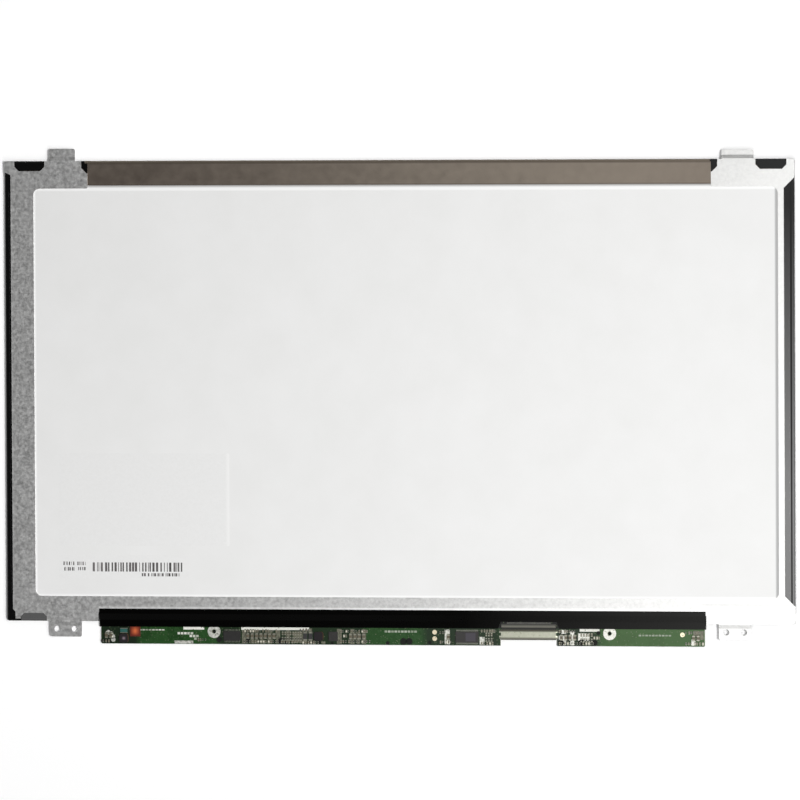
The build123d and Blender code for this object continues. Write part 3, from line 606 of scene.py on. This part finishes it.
silkscreen = bmesh.new()
for left, right in ((-98.8, -89.2), (-72.2, -41.1), (82.1, 91.1)):
    plate(silkscreen, left * mm, right * mm, tape_low.y - ink_bar, tape_low.y + mm, board_top, ink_height)
for dashes, (left, drop, count, dash_width) in enumerate(
    (
        (-118.6, 1.4, 8, 0.6 * mm),
        (-100.9, 2.9, 5, 1.0 * mm),
        (-95.4, 4.1, 3, 1.0 * mm),
        (-93.3, 5.3, 1, 1.0 * mm),
        (-6.0, 1.6, 10, 0.9 * mm),
        (109.4, 2.8, 10, 0.7 * mm),
    )
):
    dash = bmesh.new()
    plate(dash, -dash_length / 2, dash_length / 2, -dash_width / 2, dash_width / 2, 0.0, ink_height)
    row_start = (left * mm, tape_low.y - drop * mm, board_top)
    row = grow(
        dash,
        row_of_shapes,
        Start=row_start,
        Pitch=dash_pitch,
        Count=count,
        Seed=dashes,
        Finish=silk_ink,
    )
    silkscreen.from_mesh(row)
new_piece("silkscreen", silkscreen, silk_ink)

# Bare metal on the board
# Tinned rings round the two holes, tinned lands beside and between the parts, gold-plated test pads,
# and plated vias all over. Black tape on the far side closes the holes.
land_height = 0.03 * mm
hole_y = tape_low.y - 2.0 * mm
hole_xs = (-84.7 * mm, 95.7 * mm)
hole_radius = 0.95 * mm
hole_rim = 2.0 * mm


def ring(shape, x, y, inner, outer, floor, thickness, segments=32):
    """A flat ring, or a disc where the inner radius is 0."""
    turns = [2 * math.pi * number / segments for number in range(segments)]
    loops = [
        [shape.verts.new((x + radius * math.cos(turn), y + radius * math.sin(turn), z)) for turn in turns]
        for radius, z in (
            (outer, floor),
            (outer, floor + thickness),
            (inner, floor + thickness),
            (inner, floor),
        )
        if radius
    ]
    for first, second in zip(loops, loops[1:] + loops[:1] if inner else loops[1:]):
        for start in range(segments):
            end = (start + 1) % segments
            shape.faces.new((first[start], first[end], second[end], second[start]))
    if not inner:
        shape.faces.new(loops[0][::-1])
        shape.faces.new(loops[1])


bright_tin = speckled(
    "bright_tin",
    (0.52, 0.52, 0.46),
    (0.80, 0.80, 0.75),
    900.0,
    (0.24, 0.44),
    bump=0.5,
    contrast=3.0,
    metallic=0.6,
)
tinned_lands = bmesh.new()
for hole_x in hole_xs:
    ring(tinned_lands, hole_x, hole_y, hole_radius, hole_radius + hole_rim, board_top, 2 * land_height)
for left, right, lower, upper in (
    (-102.9, -94.3, -111.7, -110.4),
    (20.8, 23.1, -111.4, -104.8),
    (36.7, 38.9, -111.4, -108.0),
    (72.7, 75.9, -111.5, -107.2),
    (73.8, 76.0, -106.4, -104.7),
    (77.9, 79.6, -111.5, -105.4),
    (81.4, 86.6, -109.4, -106.2),
    (132.7, 134.6, -111.4, -108.6),
):
    plate(tinned_lands, left * mm, right * mm, lower * mm, upper * mm, board_top, land_height)
for x, y, radius in (
    (-133.5, -106.8, 1.0),
    (-132.2, -107.5, 1.1),
    (-131.4, -108.7, 1.1),
    (-131.1, -110.1, 1.0),
):
    ring(tinned_lands, x * mm, y * mm, 0.0, radius * mm, board_top, land_height)
new_piece("tinned_lands", tinned_lands, bright_tin)

dull_tin = speckled(
    "dull_tin",
    (0.08, 0.08, 0.056),
    (0.19, 0.19, 0.14),
    1100.0,
    (0.35, 0.5),
    bump=0.4,
    contrast=3.0,
    metallic=0.4,
)
copper_lands = bmesh.new()
for left, width, lower, upper in (
    (-71.9, 1.9, -111.5, -104.6),
    (-68.0, 1.6, -111.5, -107.5),
    (-65.9, 1.6, -111.5, -104.6),
    (-63.6, 1.5, -111.5, -107.5),
    (-60.2, 2.2, -111.5, -104.6),
    (-56.2, 1.8, -111.5, -104.6),
    (-51.6, 1.6, -111.5, -104.8),
    (-48.6, 6.4, -111.2, -106.0),
    (-41.4, 1.6, -106.2, -104.6),
    (-35.5, 1.8, -111.5, -110.4),
    (-28.4, 2.2, -111.5, -104.8),
    (-22.4, 2.0, -111.5, -104.8),
    (-19.4, 1.6, -111.5, -106.0),
    (-16.9, 1.8, -111.5, -104.8),
    (41.2, 2.6, -106.2, -104.6),
    (133.5, 2.7, -107.2, -104.8),
    (136.6, 1.6, -108.8, -104.8),
):
    plate(copper_lands, left * mm, (left + width) * mm, lower * mm, upper * mm, board_top, land_height / 2)
new_piece("copper_lands", copper_lands, dull_tin)

# Thin black discs on the board, mostly along the lower edge
disc_black = speckled(
    "disc_black",
    (0.003, 0.004, 0.003),
    (0.010, 0.012, 0.009),
    900.0,
    (0.45, 0.6),
    bump=0.3,
    specular=0.15,
)
disc_height = 0.05 * mm
black_discs = bmesh.new()
for x, y, radius in (
    (-136.0, -110.6, 0.8),
    (-133.2, -110.8, 0.9),
    (-82.4, -109.8, 1.3),
    (-69.2, -109.9, 0.9),
    (-53.9, -110.4, 1.5),
    (-51.6, -111.0, 0.8),
    (-40.0, -110.9, 0.9),
    (-36.6, -111.0, 0.8),
    (-30.6, -111.1, 0.7),
    (-5.2, -111.0, 0.9),
    (2.0, -110.2, 1.5),
    (4.6, -110.2, 1.5),
    (14.0, -110.6, 0.8),
    (73.6, -110.4, 1.4),
    (83.0, -110.3, 1.5),
    (88.9, -110.4, 1.3),
    (90.6, -106.0, 0.9),
):
    ring(black_discs, x * mm, y * mm, 0.0, radius * mm, board_top, disc_height)
new_piece("black_discs", black_discs, disc_black)

far_tape = speckled(
    "far_tape", (0.004, 0.004, 0.004), (0.010, 0.010, 0.010), 1300.0, (0.5, 0.6), specular=0.1
)
far_tape_thickness = 0.06 * mm
far_tape_radius = 2.0 * mm
far_tape_bottom = board_low.z - far_tape_thickness
hole_tape = bmesh.new()
for hole_x in hole_xs:
    ring(hole_tape, hole_x, hole_y, 0.0, far_tape_radius, far_tape_bottom, far_tape_thickness)
new_piece("hole_tape", hole_tape, far_tape)

test_pad_radius = 1.05 * mm
pad_gold = speckled(
    "pad_gold", (0.72, 0.62, 0.42), (0.88, 0.80, 0.62), 1500.0, (0.26, 0.40), metallic=0.7
)
test_pads = bmesh.new()
for x, y in ((16.2, -106.0), (16.2, -108.9), (128.6, -106.6)):
    ring(test_pads, x * mm, y * mm, 0.0, test_pad_radius, board_top, land_height)
new_piece("test_pads", test_pads, pad_gold)

# Geometry tree: thin discs scattered over the upward faces of a shape
scattered_discs, given, result = new_group(
    "scattered_discs",
    "Geometry",
    "Discs",
    Shape="Geometry",
    Density="Float",
    Radius="Float",
    Thickness="Float",
    Lowest="Float",
    Seed="Int",
    Finish="Material",
)
tree = scattered_discs
normal = node(tree, "GeometryNodeInputNormal").outputs["Normal"]
facing = node(tree, "ShaderNodeSeparateXYZ", Vector=normal)
upward = compute(tree, "GREATER_THAN", facing.outputs["Z"], 0.9)
spots = node(
    tree,
    "GeometryNodeDistributePointsOnFaces",
    Mesh=given["Shape"],
    Selection=upward,
    Density=given["Density"],
    Seed=given["Seed"],
)
disc = node(
    tree, "GeometryNodeMeshCylinder", Vertices=10, Radius=given["Radius"], Depth=given["Thickness"]
)
spot_place = node(tree, "GeometryNodeInputPosition").outputs["Position"]
spot_axes = node(tree, "ShaderNodeSeparateXYZ", Vector=spot_place)
copies = node(
    tree,
    "GeometryNodeInstanceOnPoints",
    Points=spots.outputs["Points"],
    Selection=compute(tree, "GREATER_THAN", spot_axes.outputs["Y"], given["Lowest"]),
    Instance=disc.outputs["Mesh"],
)
close_tree(tree, copies.outputs["Instances"], given["Finish"], result)

via_metal = speckled(
    "via_metal", (0.03, 0.07, 0.025), (0.16, 0.18, 0.11), 3000.0, (0.25, 0.4), contrast=3.0, metallic=0.6
)
via_radius = 0.22 * mm
via_density = 180000.0
board_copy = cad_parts["circuit_board"].data.copy()
vias = grow(
    board_copy,
    scattered_discs,
    Density=via_density,
    Radius=via_radius,
    Thickness=2 * land_height,
    Lowest=board_low.y + 2 * via_radius,
    Seed=7,
    Finish=via_metal,
)
new_piece("vias", vias, via_metal)

# Small parts
# Rows of the smallest ceramic capacitors and chip resistors, between and beside the larger ones.
# Each has a tinned cap at both ends, and a solder fillet from each cap down to its land.
part_length = 1.0 * mm
part_width = 0.56 * mm
part_height = 0.48 * mm
part_cap = 0.25 * mm
fillet_reach = 0.24 * mm
fillet_height = 0.34 * mm
part_pitch = 1.2 * mm
part_scatter = 0.55


def wedge(shape, left, right, near, far, floor, height):
    """A triangular prism that is highest at its near side and runs out at its far side."""
    corners = [
        shape.verts.new((x, y, z))
        for x in (left, right)
        for y, z in ((near, floor), (far, floor), (near, floor + height))
    ]
    shape.faces.new(corners[:3])
    shape.faces.new(corners[3:])
    for start in range(3):
        end = (start + 1) % 3
        shape.faces.new((corners[start], corners[end], corners[end + 3], corners[start + 3]))


def small_part():
    """One part that stands across the row, with its metal marked."""
    shape = bmesh.new()
    metal = shape.verts.layers.float.new("metal")
    inner = part_length / 2 - part_cap
    half = part_width / 2
    plate(shape, -half, half, -inner, inner, 0.0, part_height)
    body = set(shape.verts)
    proud = 0.02 * mm
    for side in (-1, 1):
        near, far = sorted((side * inner, side * part_length / 2))
        plate(shape, -half - proud, half + proud, near, far, 0.0, part_height + proud)
        tip = side * part_length / 2
        wedge(shape, -half, half, tip, tip + side * fillet_reach, 0.0, fillet_height)
    for vert in shape.verts:
        vert[metal] = 0.0 if vert in body else 1.0
    bmesh.ops.recalc_face_normals(shape, faces=shape.faces)
    return shape


small_ceramic = speckled("small_ceramic", (0.11, 0.092, 0.058), (0.18, 0.152, 0.10), 2500.0, (0.35, 0.5))
part_shade = read_attribute(small_ceramic, "shade")
blackened = compute(small_ceramic.node_tree, "LESS_THAN", part_shade, 0.40)
paint_over(small_ceramic, blackened, (0.012, 0.012, 0.013), rough=0.4)
pale = compute(small_ceramic.node_tree, "GREATER_THAN", part_shade, 0.85)
paint_over(small_ceramic, pale, (0.60, 0.57, 0.47), rough=0.4)
tinned = overlap(small_ceramic, read_attribute(small_ceramic, "metal"), 0.9)
paint_over(small_ceramic, tinned, (0.33, 0.33, 0.27), rough=0.34, metallic=1.0)
small_parts = bmesh.new()
for seed, (left, row_y, count) in enumerate(
    (
        (-70.6, -105.9, 13),
        (-70.6, -110.6, 21),
        (-44.9, -105.4, 4),
        (-44.0, -110.9, 7),
        (-26.6, -105.8, 11),
        (-26.6, -107.9, 3),
        (-26.6, -110.4, 12),
        (-92.0, -109.9, 4),
        (18.9, -106.2, 2),
        (18.9, -110.4, 5),
        (37.6, -105.3, 6),
        (37.6, -110.9, 5),
        (72.9, -105.4, 7),
        (72.9, -110.7, 14),
        (88.6, -108.2, 3),
        (130.4, -105.7, 6),
        (130.4, -110.6, 7),
        (-135.6, -110.7, 3),
    )
):
    row_start = (left * mm, row_y * mm, board_top)
    row = grow(
        small_part(),
        row_of_shapes,
        Start=row_start,
        Pitch=part_pitch,
        Count=count,
        Scatter=part_scatter,
        Seed=seed,
        Finish=small_ceramic,
    )
    small_parts.from_mesh(row)
new_piece("small_parts", small_parts, small_ceramic)

# Solder
# Bright fillets at both ends of each larger part, where its caps were reflowed to the board.
solder_rise = 0.55
solder_spread = 0.28 * mm


def islands(name):
    """The low and high corner of each separate solid of a CAD node, from left to right."""
    shape = bmesh.new()
    shape.from_mesh(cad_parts[name].data)
    bmesh.ops.remove_doubles(shape, verts=shape.verts, dist=0.001 * mm)
    waiting = set(shape.verts)
    found = []
    while waiting:
        group = [waiting.pop()]
        for vert in group:
            for edge in vert.link_edges:
                other = edge.other_vert(vert)
                if other in waiting:
                    waiting.remove(other)
                    group.append(other)
        sides = [[vert.co[axis] for vert in group] for axis in range(3)]
        found.append((Vector([min(side) for side in sides]), Vector([max(side) for side in sides])))
    shape.free()
    return sorted(found, key=lambda corners: tuple(corners[0]))


# Geometry tree: a four-sided fillet on each point, as large as the point says
solder_feet, given, result = new_group(
    "solder_feet", "Geometry", "Feet", Points="Geometry", Finish="Material"
)
foot = node(
    solder_feet,
    "GeometryNodeMeshCone",
    Vertices=4,
    Radius_Top=math.sqrt(0.5) * 0.62,
    Radius_Bottom=math.sqrt(0.5),
    Depth=1.0,
)
eighth_turn = (0.0, 0.0, math.pi / 4)
square = node(solder_feet, "GeometryNodeTransform", Geometry=foot.outputs["Mesh"], Rotation=eighth_turn)
spread = solder_feet.nodes.new("GeometryNodeInputNamedAttribute")
spread.data_type = "FLOAT_VECTOR"
spread.inputs["Name"].default_value = "spread"
copies = node(
    solder_feet,
    "GeometryNodeInstanceOnPoints",
    Points=given["Points"],
    Instance=square.outputs["Geometry"],
    Scale=spread.outputs["Attribute"],
)
close_tree(solder_feet, copies.outputs["Instances"], given["Finish"], result)

solder = speckled(
    "solder", (0.22, 0.22, 0.175), (0.38, 0.38, 0.32), 1600.0, (0.40, 0.52), bump=0.2, metallic=1.0
)
places = bmesh.new()
size = places.verts.layers.float_vector.new("spread")
for name in ("large_capacitors", "small_capacitors", "chip_resistors", "rectifiers"):
    for low, high in islands(name):
        for end in (low.y, high.y):
            vert = places.verts.new(((low.x + high.x) / 2, end, board_top))
            width = high.x - low.x + solder_spread
            vert[size] = (width, 3 * solder_spread, (high.z - low.z) * solder_rise)
new_piece("solder_joints", grow(places, solder_feet, Finish=solder), solder)

# Video connector
# An ivory liquid-crystal-polymer housing with gold-plated contacts at half a millimetre, under a tinned
# steel shell whose feet are soldered to the board.
shell_low, shell_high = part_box("connector_shell")
shell_lip = 1.1 * mm
shell_shade_depth = 0.9 * mm
shell_metal = speckled(
    "shell_metal", (0.37, 0.38, 0.30), (0.47, 0.48, 0.39), 900.0, (0.26, 0.36), bump=0.08, metallic=1.0
)
mouth = band(shell_metal, "Y", shell_low.y - mm, shell_low.y + shell_lip, soft=0.1 * mm)
paint_over(shell_metal, mouth, (0.17, 0.17, 0.14), rough=0.34)
# Painted shadow: a dark band along the shell's upper edge.
shell_top_shadow = band(shell_metal, "Y", shell_high.y - shell_shade_depth, shell_high.y + mm, soft=0.35 * mm)
paint_over(shell_metal, shell_top_shadow, (0.07, 0.07, 0.055), rough=0.4)
dress(shell_metal, "connector_shell")
housing_ivory = speckled("housing_ivory", (0.10, 0.098, 0.078), (0.13, 0.128, 0.10), 1400.0, (0.42, 0.55))
under_shell = band(housing_ivory, "Y", shell_low.y - mm, shell_high.y - 0.1 * mm)
paint_over(housing_ivory, under_shell, (0.44, 0.44, 0.36))
# Painted shadow: the housing is near black in the gap just behind the shell.
gap_shadow = band(housing_ivory, "Y", shell_high.y - 0.1 * mm, shell_high.y + 1.0 * mm, soft=0.05 * mm)
paint_over(housing_ivory, gap_shadow, (0.016, 0.016, 0.013), rough=0.7)
housing_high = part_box("connector_housing")[1]
back_edge = band(housing_ivory, "Y", housing_high.y - 0.7 * mm, housing_high.y + mm, soft=0.4 * mm)
paint_over(housing_ivory, back_edge, (0.02, 0.02, 0.016))
dress(housing_ivory, "connector_housing")
contact_gold = speckled(
    "contact_gold", (0.72, 0.50, 0.20), (0.86, 0.64, 0.30), 2500.0, (0.22, 0.32), metallic=1.0
)
tails = band(contact_gold, "Y", shell_high.y, shell_high.y + 10.0 * mm)
paint_over(contact_gold, tails, (0.22, 0.22, 0.20), rough=0.4)
dress(contact_gold, "connector_contacts")

# Chips on the board
# Black epoxy packages with tinned leads along both long sides, and a leadless driver chip.
# The timing controller has a bare heat spreader on its back, a little to the right.
for name, body_width, epoxy in (
    ("timing_controller", 5.0 * mm, 0.022),
    ("power_chip", 4.4 * mm, 0.009),
    ("light_driver_chip", 4.2 * mm, 0.016),
):
    chip_low, chip_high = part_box(name)
    middle = (chip_low + chip_high) / 2
    package = speckled(
        name + "_epoxy",
        (0.8 * epoxy, 0.76 * epoxy, 0.72 * epoxy),
        (1.3 * epoxy, 1.22 * epoxy, 1.15 * epoxy),
        900.0,
        (0.40, 0.55),
        bump=0.15,
        specular=0.35,
    )
    body = band(package, "Y", middle.y - body_width / 2, middle.y + body_width / 2)
    leads = outside(package, body)
    paint_over(package, leads, (0.26, 0.26, 0.22), rough=0.36, metallic=1.0)
    if name == "timing_controller":
        spreader_low = (middle.x - 0.6 * mm, middle.y - 1.9 * mm)
        spreader_high = (middle.x + 3.9 * mm, middle.y + 1.9 * mm)
        spreader = rectangle(package, spreader_low, spreader_high, soft=0.2 * mm)
        paint_over(package, spreader, (0.050, 0.045, 0.056), rough=0.36)
    dress(package, name)

# Coils
# Grey ferrite drums with square flanges, wound with enamelled copper wire. The left one has a painted
# highlight, a pale spot.
coil_low, coil_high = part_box("coils")
ferrite = speckled(
    "ferrite", (0.006, 0.005, 0.006), (0.014, 0.011, 0.013), 1200.0, (0.5, 0.65), bump=0.2, specular=0.2
)
# Painted highlight: a pale spot on the left coil.
highlight_low = (coil_low.x + 1.6 * mm, coil_low.y + 1.6 * mm)
highlight_high = (coil_low.x + 2.6 * mm, coil_low.y + 2.4 * mm)
coil_highlight = rectangle(ferrite, highlight_low, highlight_high, soft=0.5 * mm)
paint_over(ferrite, coil_highlight, (0.30, 0.23, 0.27))
winding = band(ferrite, "Z", coil_low.z + 0.4 * mm, coil_high.z - 0.4 * mm)
paint_over(ferrite, winding, (0.55, 0.20, 0.07), rough=0.3, metallic=0.9)
dress(ferrite, "coils")

# Capacitors, resistors, rectifiers and fuse
# Ceramic and film packages with a tinned cap at each end, in rows with their caps across the board.
for name, dark, light, cap in (
    ("large_capacitors", (0.075, 0.064, 0.040), (0.13, 0.11, 0.07), 0.4 * mm),
    ("small_capacitors", (0.095, 0.080, 0.050), (0.16, 0.135, 0.09), 0.25 * mm),
    ("chip_resistors", (0.012, 0.012, 0.013), (0.024, 0.024, 0.025), 0.25 * mm),
    ("rectifiers", (0.012, 0.012, 0.012), (0.024, 0.024, 0.024), 0.4 * mm),
    ("input_fuse", (0.006, 0.075, 0.062), (0.014, 0.105, 0.088), 0.3 * mm),
):
    part_low, part_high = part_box(name)
    ceramic = speckled(name + "_body", dark, light, 2200.0, (0.35, 0.5))
    body = band(ceramic, "Y", part_low.y + cap, part_high.y - cap)
    caps = outside(ceramic, body)
    paint_over(ceramic, caps, (0.34, 0.34, 0.28), rough=0.34, metallic=1.0)
    dress(ceramic, name)

# Cover tape
# Black acetate tape with a fine woven face, stuck to the steel and down onto the circuit board.
# It is painted a little paler towards its right end, a painted highlight.
tape_black = speckled(
    "tape_black",
    (0.0005, 0.0005, 0.0005),
    (0.0015, 0.0015, 0.0012),
    1300.0,
    (0.24, 0.32),
    bump=0.10,
    specular=0.03,
)
# Painted highlight: the tape is paler towards its right end.
right_end_sheen = band(tape_black, "X", 150.0 * mm, 400.0 * mm, soft=120.0 * mm)
paint_over(tape_black, right_end_sheen, (0.050, 0.050, 0.048))
dress(tape_black, "board_cover_tape")

# Labels
# Thin white paper, stuck to the reflector: a blank one, with a painted highlight along its right edge,
# and one with printed bars.
label_white = speckled(
    "label_white", (0.795, 0.795, 0.787), (0.83, 0.83, 0.825), 900.0, (0.5, 0.6), specular=0.3
)
blank_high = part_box("blank_label")[1]
# Painted highlight: a paler band along the blank label's right edge.
right_edge_highlight = band(label_white, "X", blank_high.x - 1.2 * mm, blank_high.x + mm, soft=0.6 * mm)
paint_over(label_white, right_edge_highlight, (0.865, 0.865, 0.857))
dress(label_white, "blank_label", "code_label")

# Geometry tree: bars of chance widths and gaps that fill a length
bar_code, given, result = new_group(
    "bar_code",
    "Geometry",
    "Bars",
    Shape="Geometry",
    Start="Vector",
    Length="Float",
    Height="Float",
    Count="Int",
    Seed="Int",
    Finish="Material",
)


def chance_steps(seed_shift):
    """A chance whole number from 1 to 3 for each bar."""
    made = bar_code.nodes.new("FunctionNodeRandomValue")
    made.data_type = "INT"
    limits = [socket for socket in made.inputs if socket.type == "INT" and socket.name in ("Min", "Max")]
    for socket, limit in zip(limits, (1, 3)):
        socket.default_value = limit
    bar_code.links.new(compute(bar_code, "ADD", given["Seed"], seed_shift), made.inputs["Seed"])
    return next(socket for socket in made.outputs if socket.type == "INT")


bar_width = chance_steps(0.0)
bar_step = compute(bar_code, "ADD", bar_width, chance_steps(1.0))
running = node(bar_code, "GeometryNodeAccumulateField", Value=bar_step)
unit = compute(bar_code, "DIVIDE", given["Length"], running.outputs["Total"])
middle = compute(bar_code, "MULTIPLY_ADD", bar_width, 0.5, running.outputs["Trailing"])
shift = node(bar_code, "ShaderNodeCombineXYZ", X=compute(bar_code, "MULTIPLY", middle, unit))
line = node(
    bar_code,
    "GeometryNodeMeshLine",
    Count=given["Count"],
    Start_Location=given["Start"],
    Offset=(0.0, 0.0, 0.0),
)
placed = node(
    bar_code, "GeometryNodeSetPosition", Geometry=line.outputs["Mesh"], Offset=shift.outputs["Vector"]
)
stretch = node(
    bar_code,
    "ShaderNodeCombineXYZ",
    X=compute(bar_code, "MULTIPLY", bar_width, unit),
    Y=given["Height"],
    Z=1.0,
)
copies = node(
    bar_code,
    "GeometryNodeInstanceOnPoints",
    Points=placed.outputs["Geometry"],
    Instance=given["Shape"],
    Scale=stretch.outputs["Vector"],
)
tagged = tag_shade(bar_code, copies.outputs["Instances"], chance_share(bar_code, given["Seed"]))
close_tree(bar_code, tagged, given["Finish"], result)

print_height = 0.01 * mm
print_black = speckled("print_black", (0.020, 0.019, 0.019), (0.045, 0.042, 0.042), 2600.0, (0.5, 0.65))
thin_ink = overlap(print_black, read_attribute(print_black, "shade"), 0.55)
paint_over(print_black, thin_ink, (0.24, 0.22, 0.22))
code_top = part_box("code_label")[1].z
printed_bars = bmesh.new()
for seed, (left, right, lower, upper, count) in enumerate(
    (
        (-140.1, -98.2, -79.2, -75.1, 30),
        (-153.6, -148.2, -76.4, -74.8, 6),
        (-153.2, -148.0, -78.9, -77.3, 6),
        (-147.2, -142.8, -76.4, -74.8, 5),
        (-146.8, -143.2, -78.7, -77.2, 4),
        (-117.5, -99.6, -81.3, -79.9, 16),
    )
):
    bar = bmesh.new()
    plate(bar, -0.5, 0.5, 0.0, 1.0, 0.0, print_height)
    bars = grow(
        bar,
        bar_code,
        Start=(left * mm, lower * mm, code_top),
        Length=(right - left) * mm,
        Height=(upper - lower) * mm,
        Count=count,
        Seed=seed,
        Finish=print_black,
    )
    printed_bars.from_mesh(bars)
new_piece("printed_bars", printed_bars, print_black)

# Floor and studio light
# The panel lies on a pale floor. A wide softbox hangs over its lower right corner, turned so that one edge
# crosses the panel, a lamp further to the right gives the shadows, and an even fill comes from all round.
floor_reach = 12.0
floor_thickness = 1.0 * mm
floor_gap = 0.1 * mm
floor_bottom = cad_box[0].z - floor_gap - floor_thickness
floor_shape = bmesh.new()
plate(floor_shape, -floor_reach, floor_reach, -floor_reach, floor_reach, floor_bottom, floor_thickness)
floor = add_object("floor", as_mesh("floor", floor_shape))
floor_paint = bpy.data.materials.new("floor_paint")
floor_paint.use_nodes = True
tree = floor_paint.node_tree
shader = tree.nodes["Principled BSDF"]
shader.inputs["Base Color"].default_value = (0.96, 0.96, 0.96, 1.0)
shader.inputs["Roughness"].default_value = 0.8


def seen_directly(tree):
    """1 for what the camera sees, also in metal or through glass."""
    paths = node(tree, "ShaderNodeLightPath")
    seen = compute(tree, "MAXIMUM", paths.outputs["Is Camera Ray"], paths.outputs["Is Glossy Ray"])
    return compute(tree, "MAXIMUM", seen, paths.outputs["Is Transmission Ray"])


# A faint glow on the upper left of the floor, which the softbox lights less
glow_strength = 0.17
glow_edge = 0.03
glow_fade = 0.22
floor_place = node(tree, "ShaderNodeTexCoord")
floor_axes = node(tree, "ShaderNodeSeparateXYZ", Vector=floor_place.outputs["Object"])
diagonal = compute(tree, "SUBTRACT", floor_axes.outputs["X"], floor_axes.outputs["Y"])
far_side = use_group(tree, span, Value=diagonal, Low=-4 * floor_reach, High=glow_edge, Soft=glow_fade)
glowing = overlap(floor_paint, far_side, seen_directly(tree))
brightness = overlap(floor_paint, glowing, glow_strength)
glow = node(tree, "ShaderNodeEmission", Color=(1.0, 1.0, 1.0, 1.0), Strength=brightness)
total = tree.nodes.new("ShaderNodeAddShader")
tree.links.new(shader.outputs["BSDF"], total.inputs[0])
tree.links.new(glow.outputs["Emission"], total.inputs[1])
tree.links.new(total.outputs["Shader"], tree.nodes["Material Output"].inputs["Surface"])
floor.data.materials.append(floor_paint)

# The fill light: full near the horizon, dim overhead, and weaker on the panel than it looks in metal
fill_share = 0.25
dimming_starts = 0.50
dimming_ends = 0.80
overhead_level = 0.05
world = bpy.data.worlds.new("studio")
bpy.context.scene.world = world
world.use_nodes = True
tree = world.node_tree
sky = node(tree, "ShaderNodeTexCoord")
height = node(tree, "ShaderNodeSeparateXYZ", Vector=sky.outputs["Generated"])
level = node(
    tree,
    "ShaderNodeMapRange",
    Value=height.outputs["Z"],
    From_Min=dimming_starts,
    From_Max=dimming_ends,
    To_Min=1.0,
    To_Max=overhead_level,
)
share = mix(tree, "FLOAT", seen_directly(tree), fill_share, 1.0)
strength = compute(tree, "MULTIPLY", level.outputs["Result"], share)
tree.nodes["Background"].inputs["Color"].default_value = (1.0, 1.0, 1.0, 1.0)
tree.links.new(strength, tree.nodes["Background"].inputs["Strength"])

softbox = bpy.data.lights.new("softbox", "AREA")
softbox.shape = "RECTANGLE"
softbox.size = 0.56
softbox.size_y = 0.66
softbox.energy = 2.15
softbox_lamp = add_object("softbox", softbox)
softbox_lamp.location = (0.260, -0.13, 0.60)
softbox_lamp.rotation_euler = (0.0, 0.0, math.radians(-24.0))

side_light = bpy.data.lights.new("side_light", "SUN")
side_light.angle = math.radians(10.0)
side_light.energy = 1.96
side_lamp = add_object("side_light", side_light)
side_lamp.rotation_euler = (0.0, math.radians(26.0), 0.0)

# Camera
# Square on to the panel's back from about four metres, a little to its right, with a long lens.
camera_data = bpy.data.cameras.new("camera")
camera_data.sensor_width = 36.0
camera_data.lens = 405.0
camera_data.clip_end = 50.0
camera = add_object("camera", camera_data)
camera.location = (0.6729, 0.1380, 3.9880)
aim = Vector((0.0007, -0.0016, 0.0))
roll = math.radians(-0.27)
view = (aim - camera.location).normalized()
right = view.cross(Vector((0.0, 1.0, 0.0))).normalized()
turn = Matrix((right, right.cross(view), -view)).transposed() @ Matrix.Rotation(roll, 3, "Z")
camera.rotation_euler = turn.to_euler()
bpy.context.scene.camera = camera
bpy.context.scene.view_settings.view_transform = "Standard"
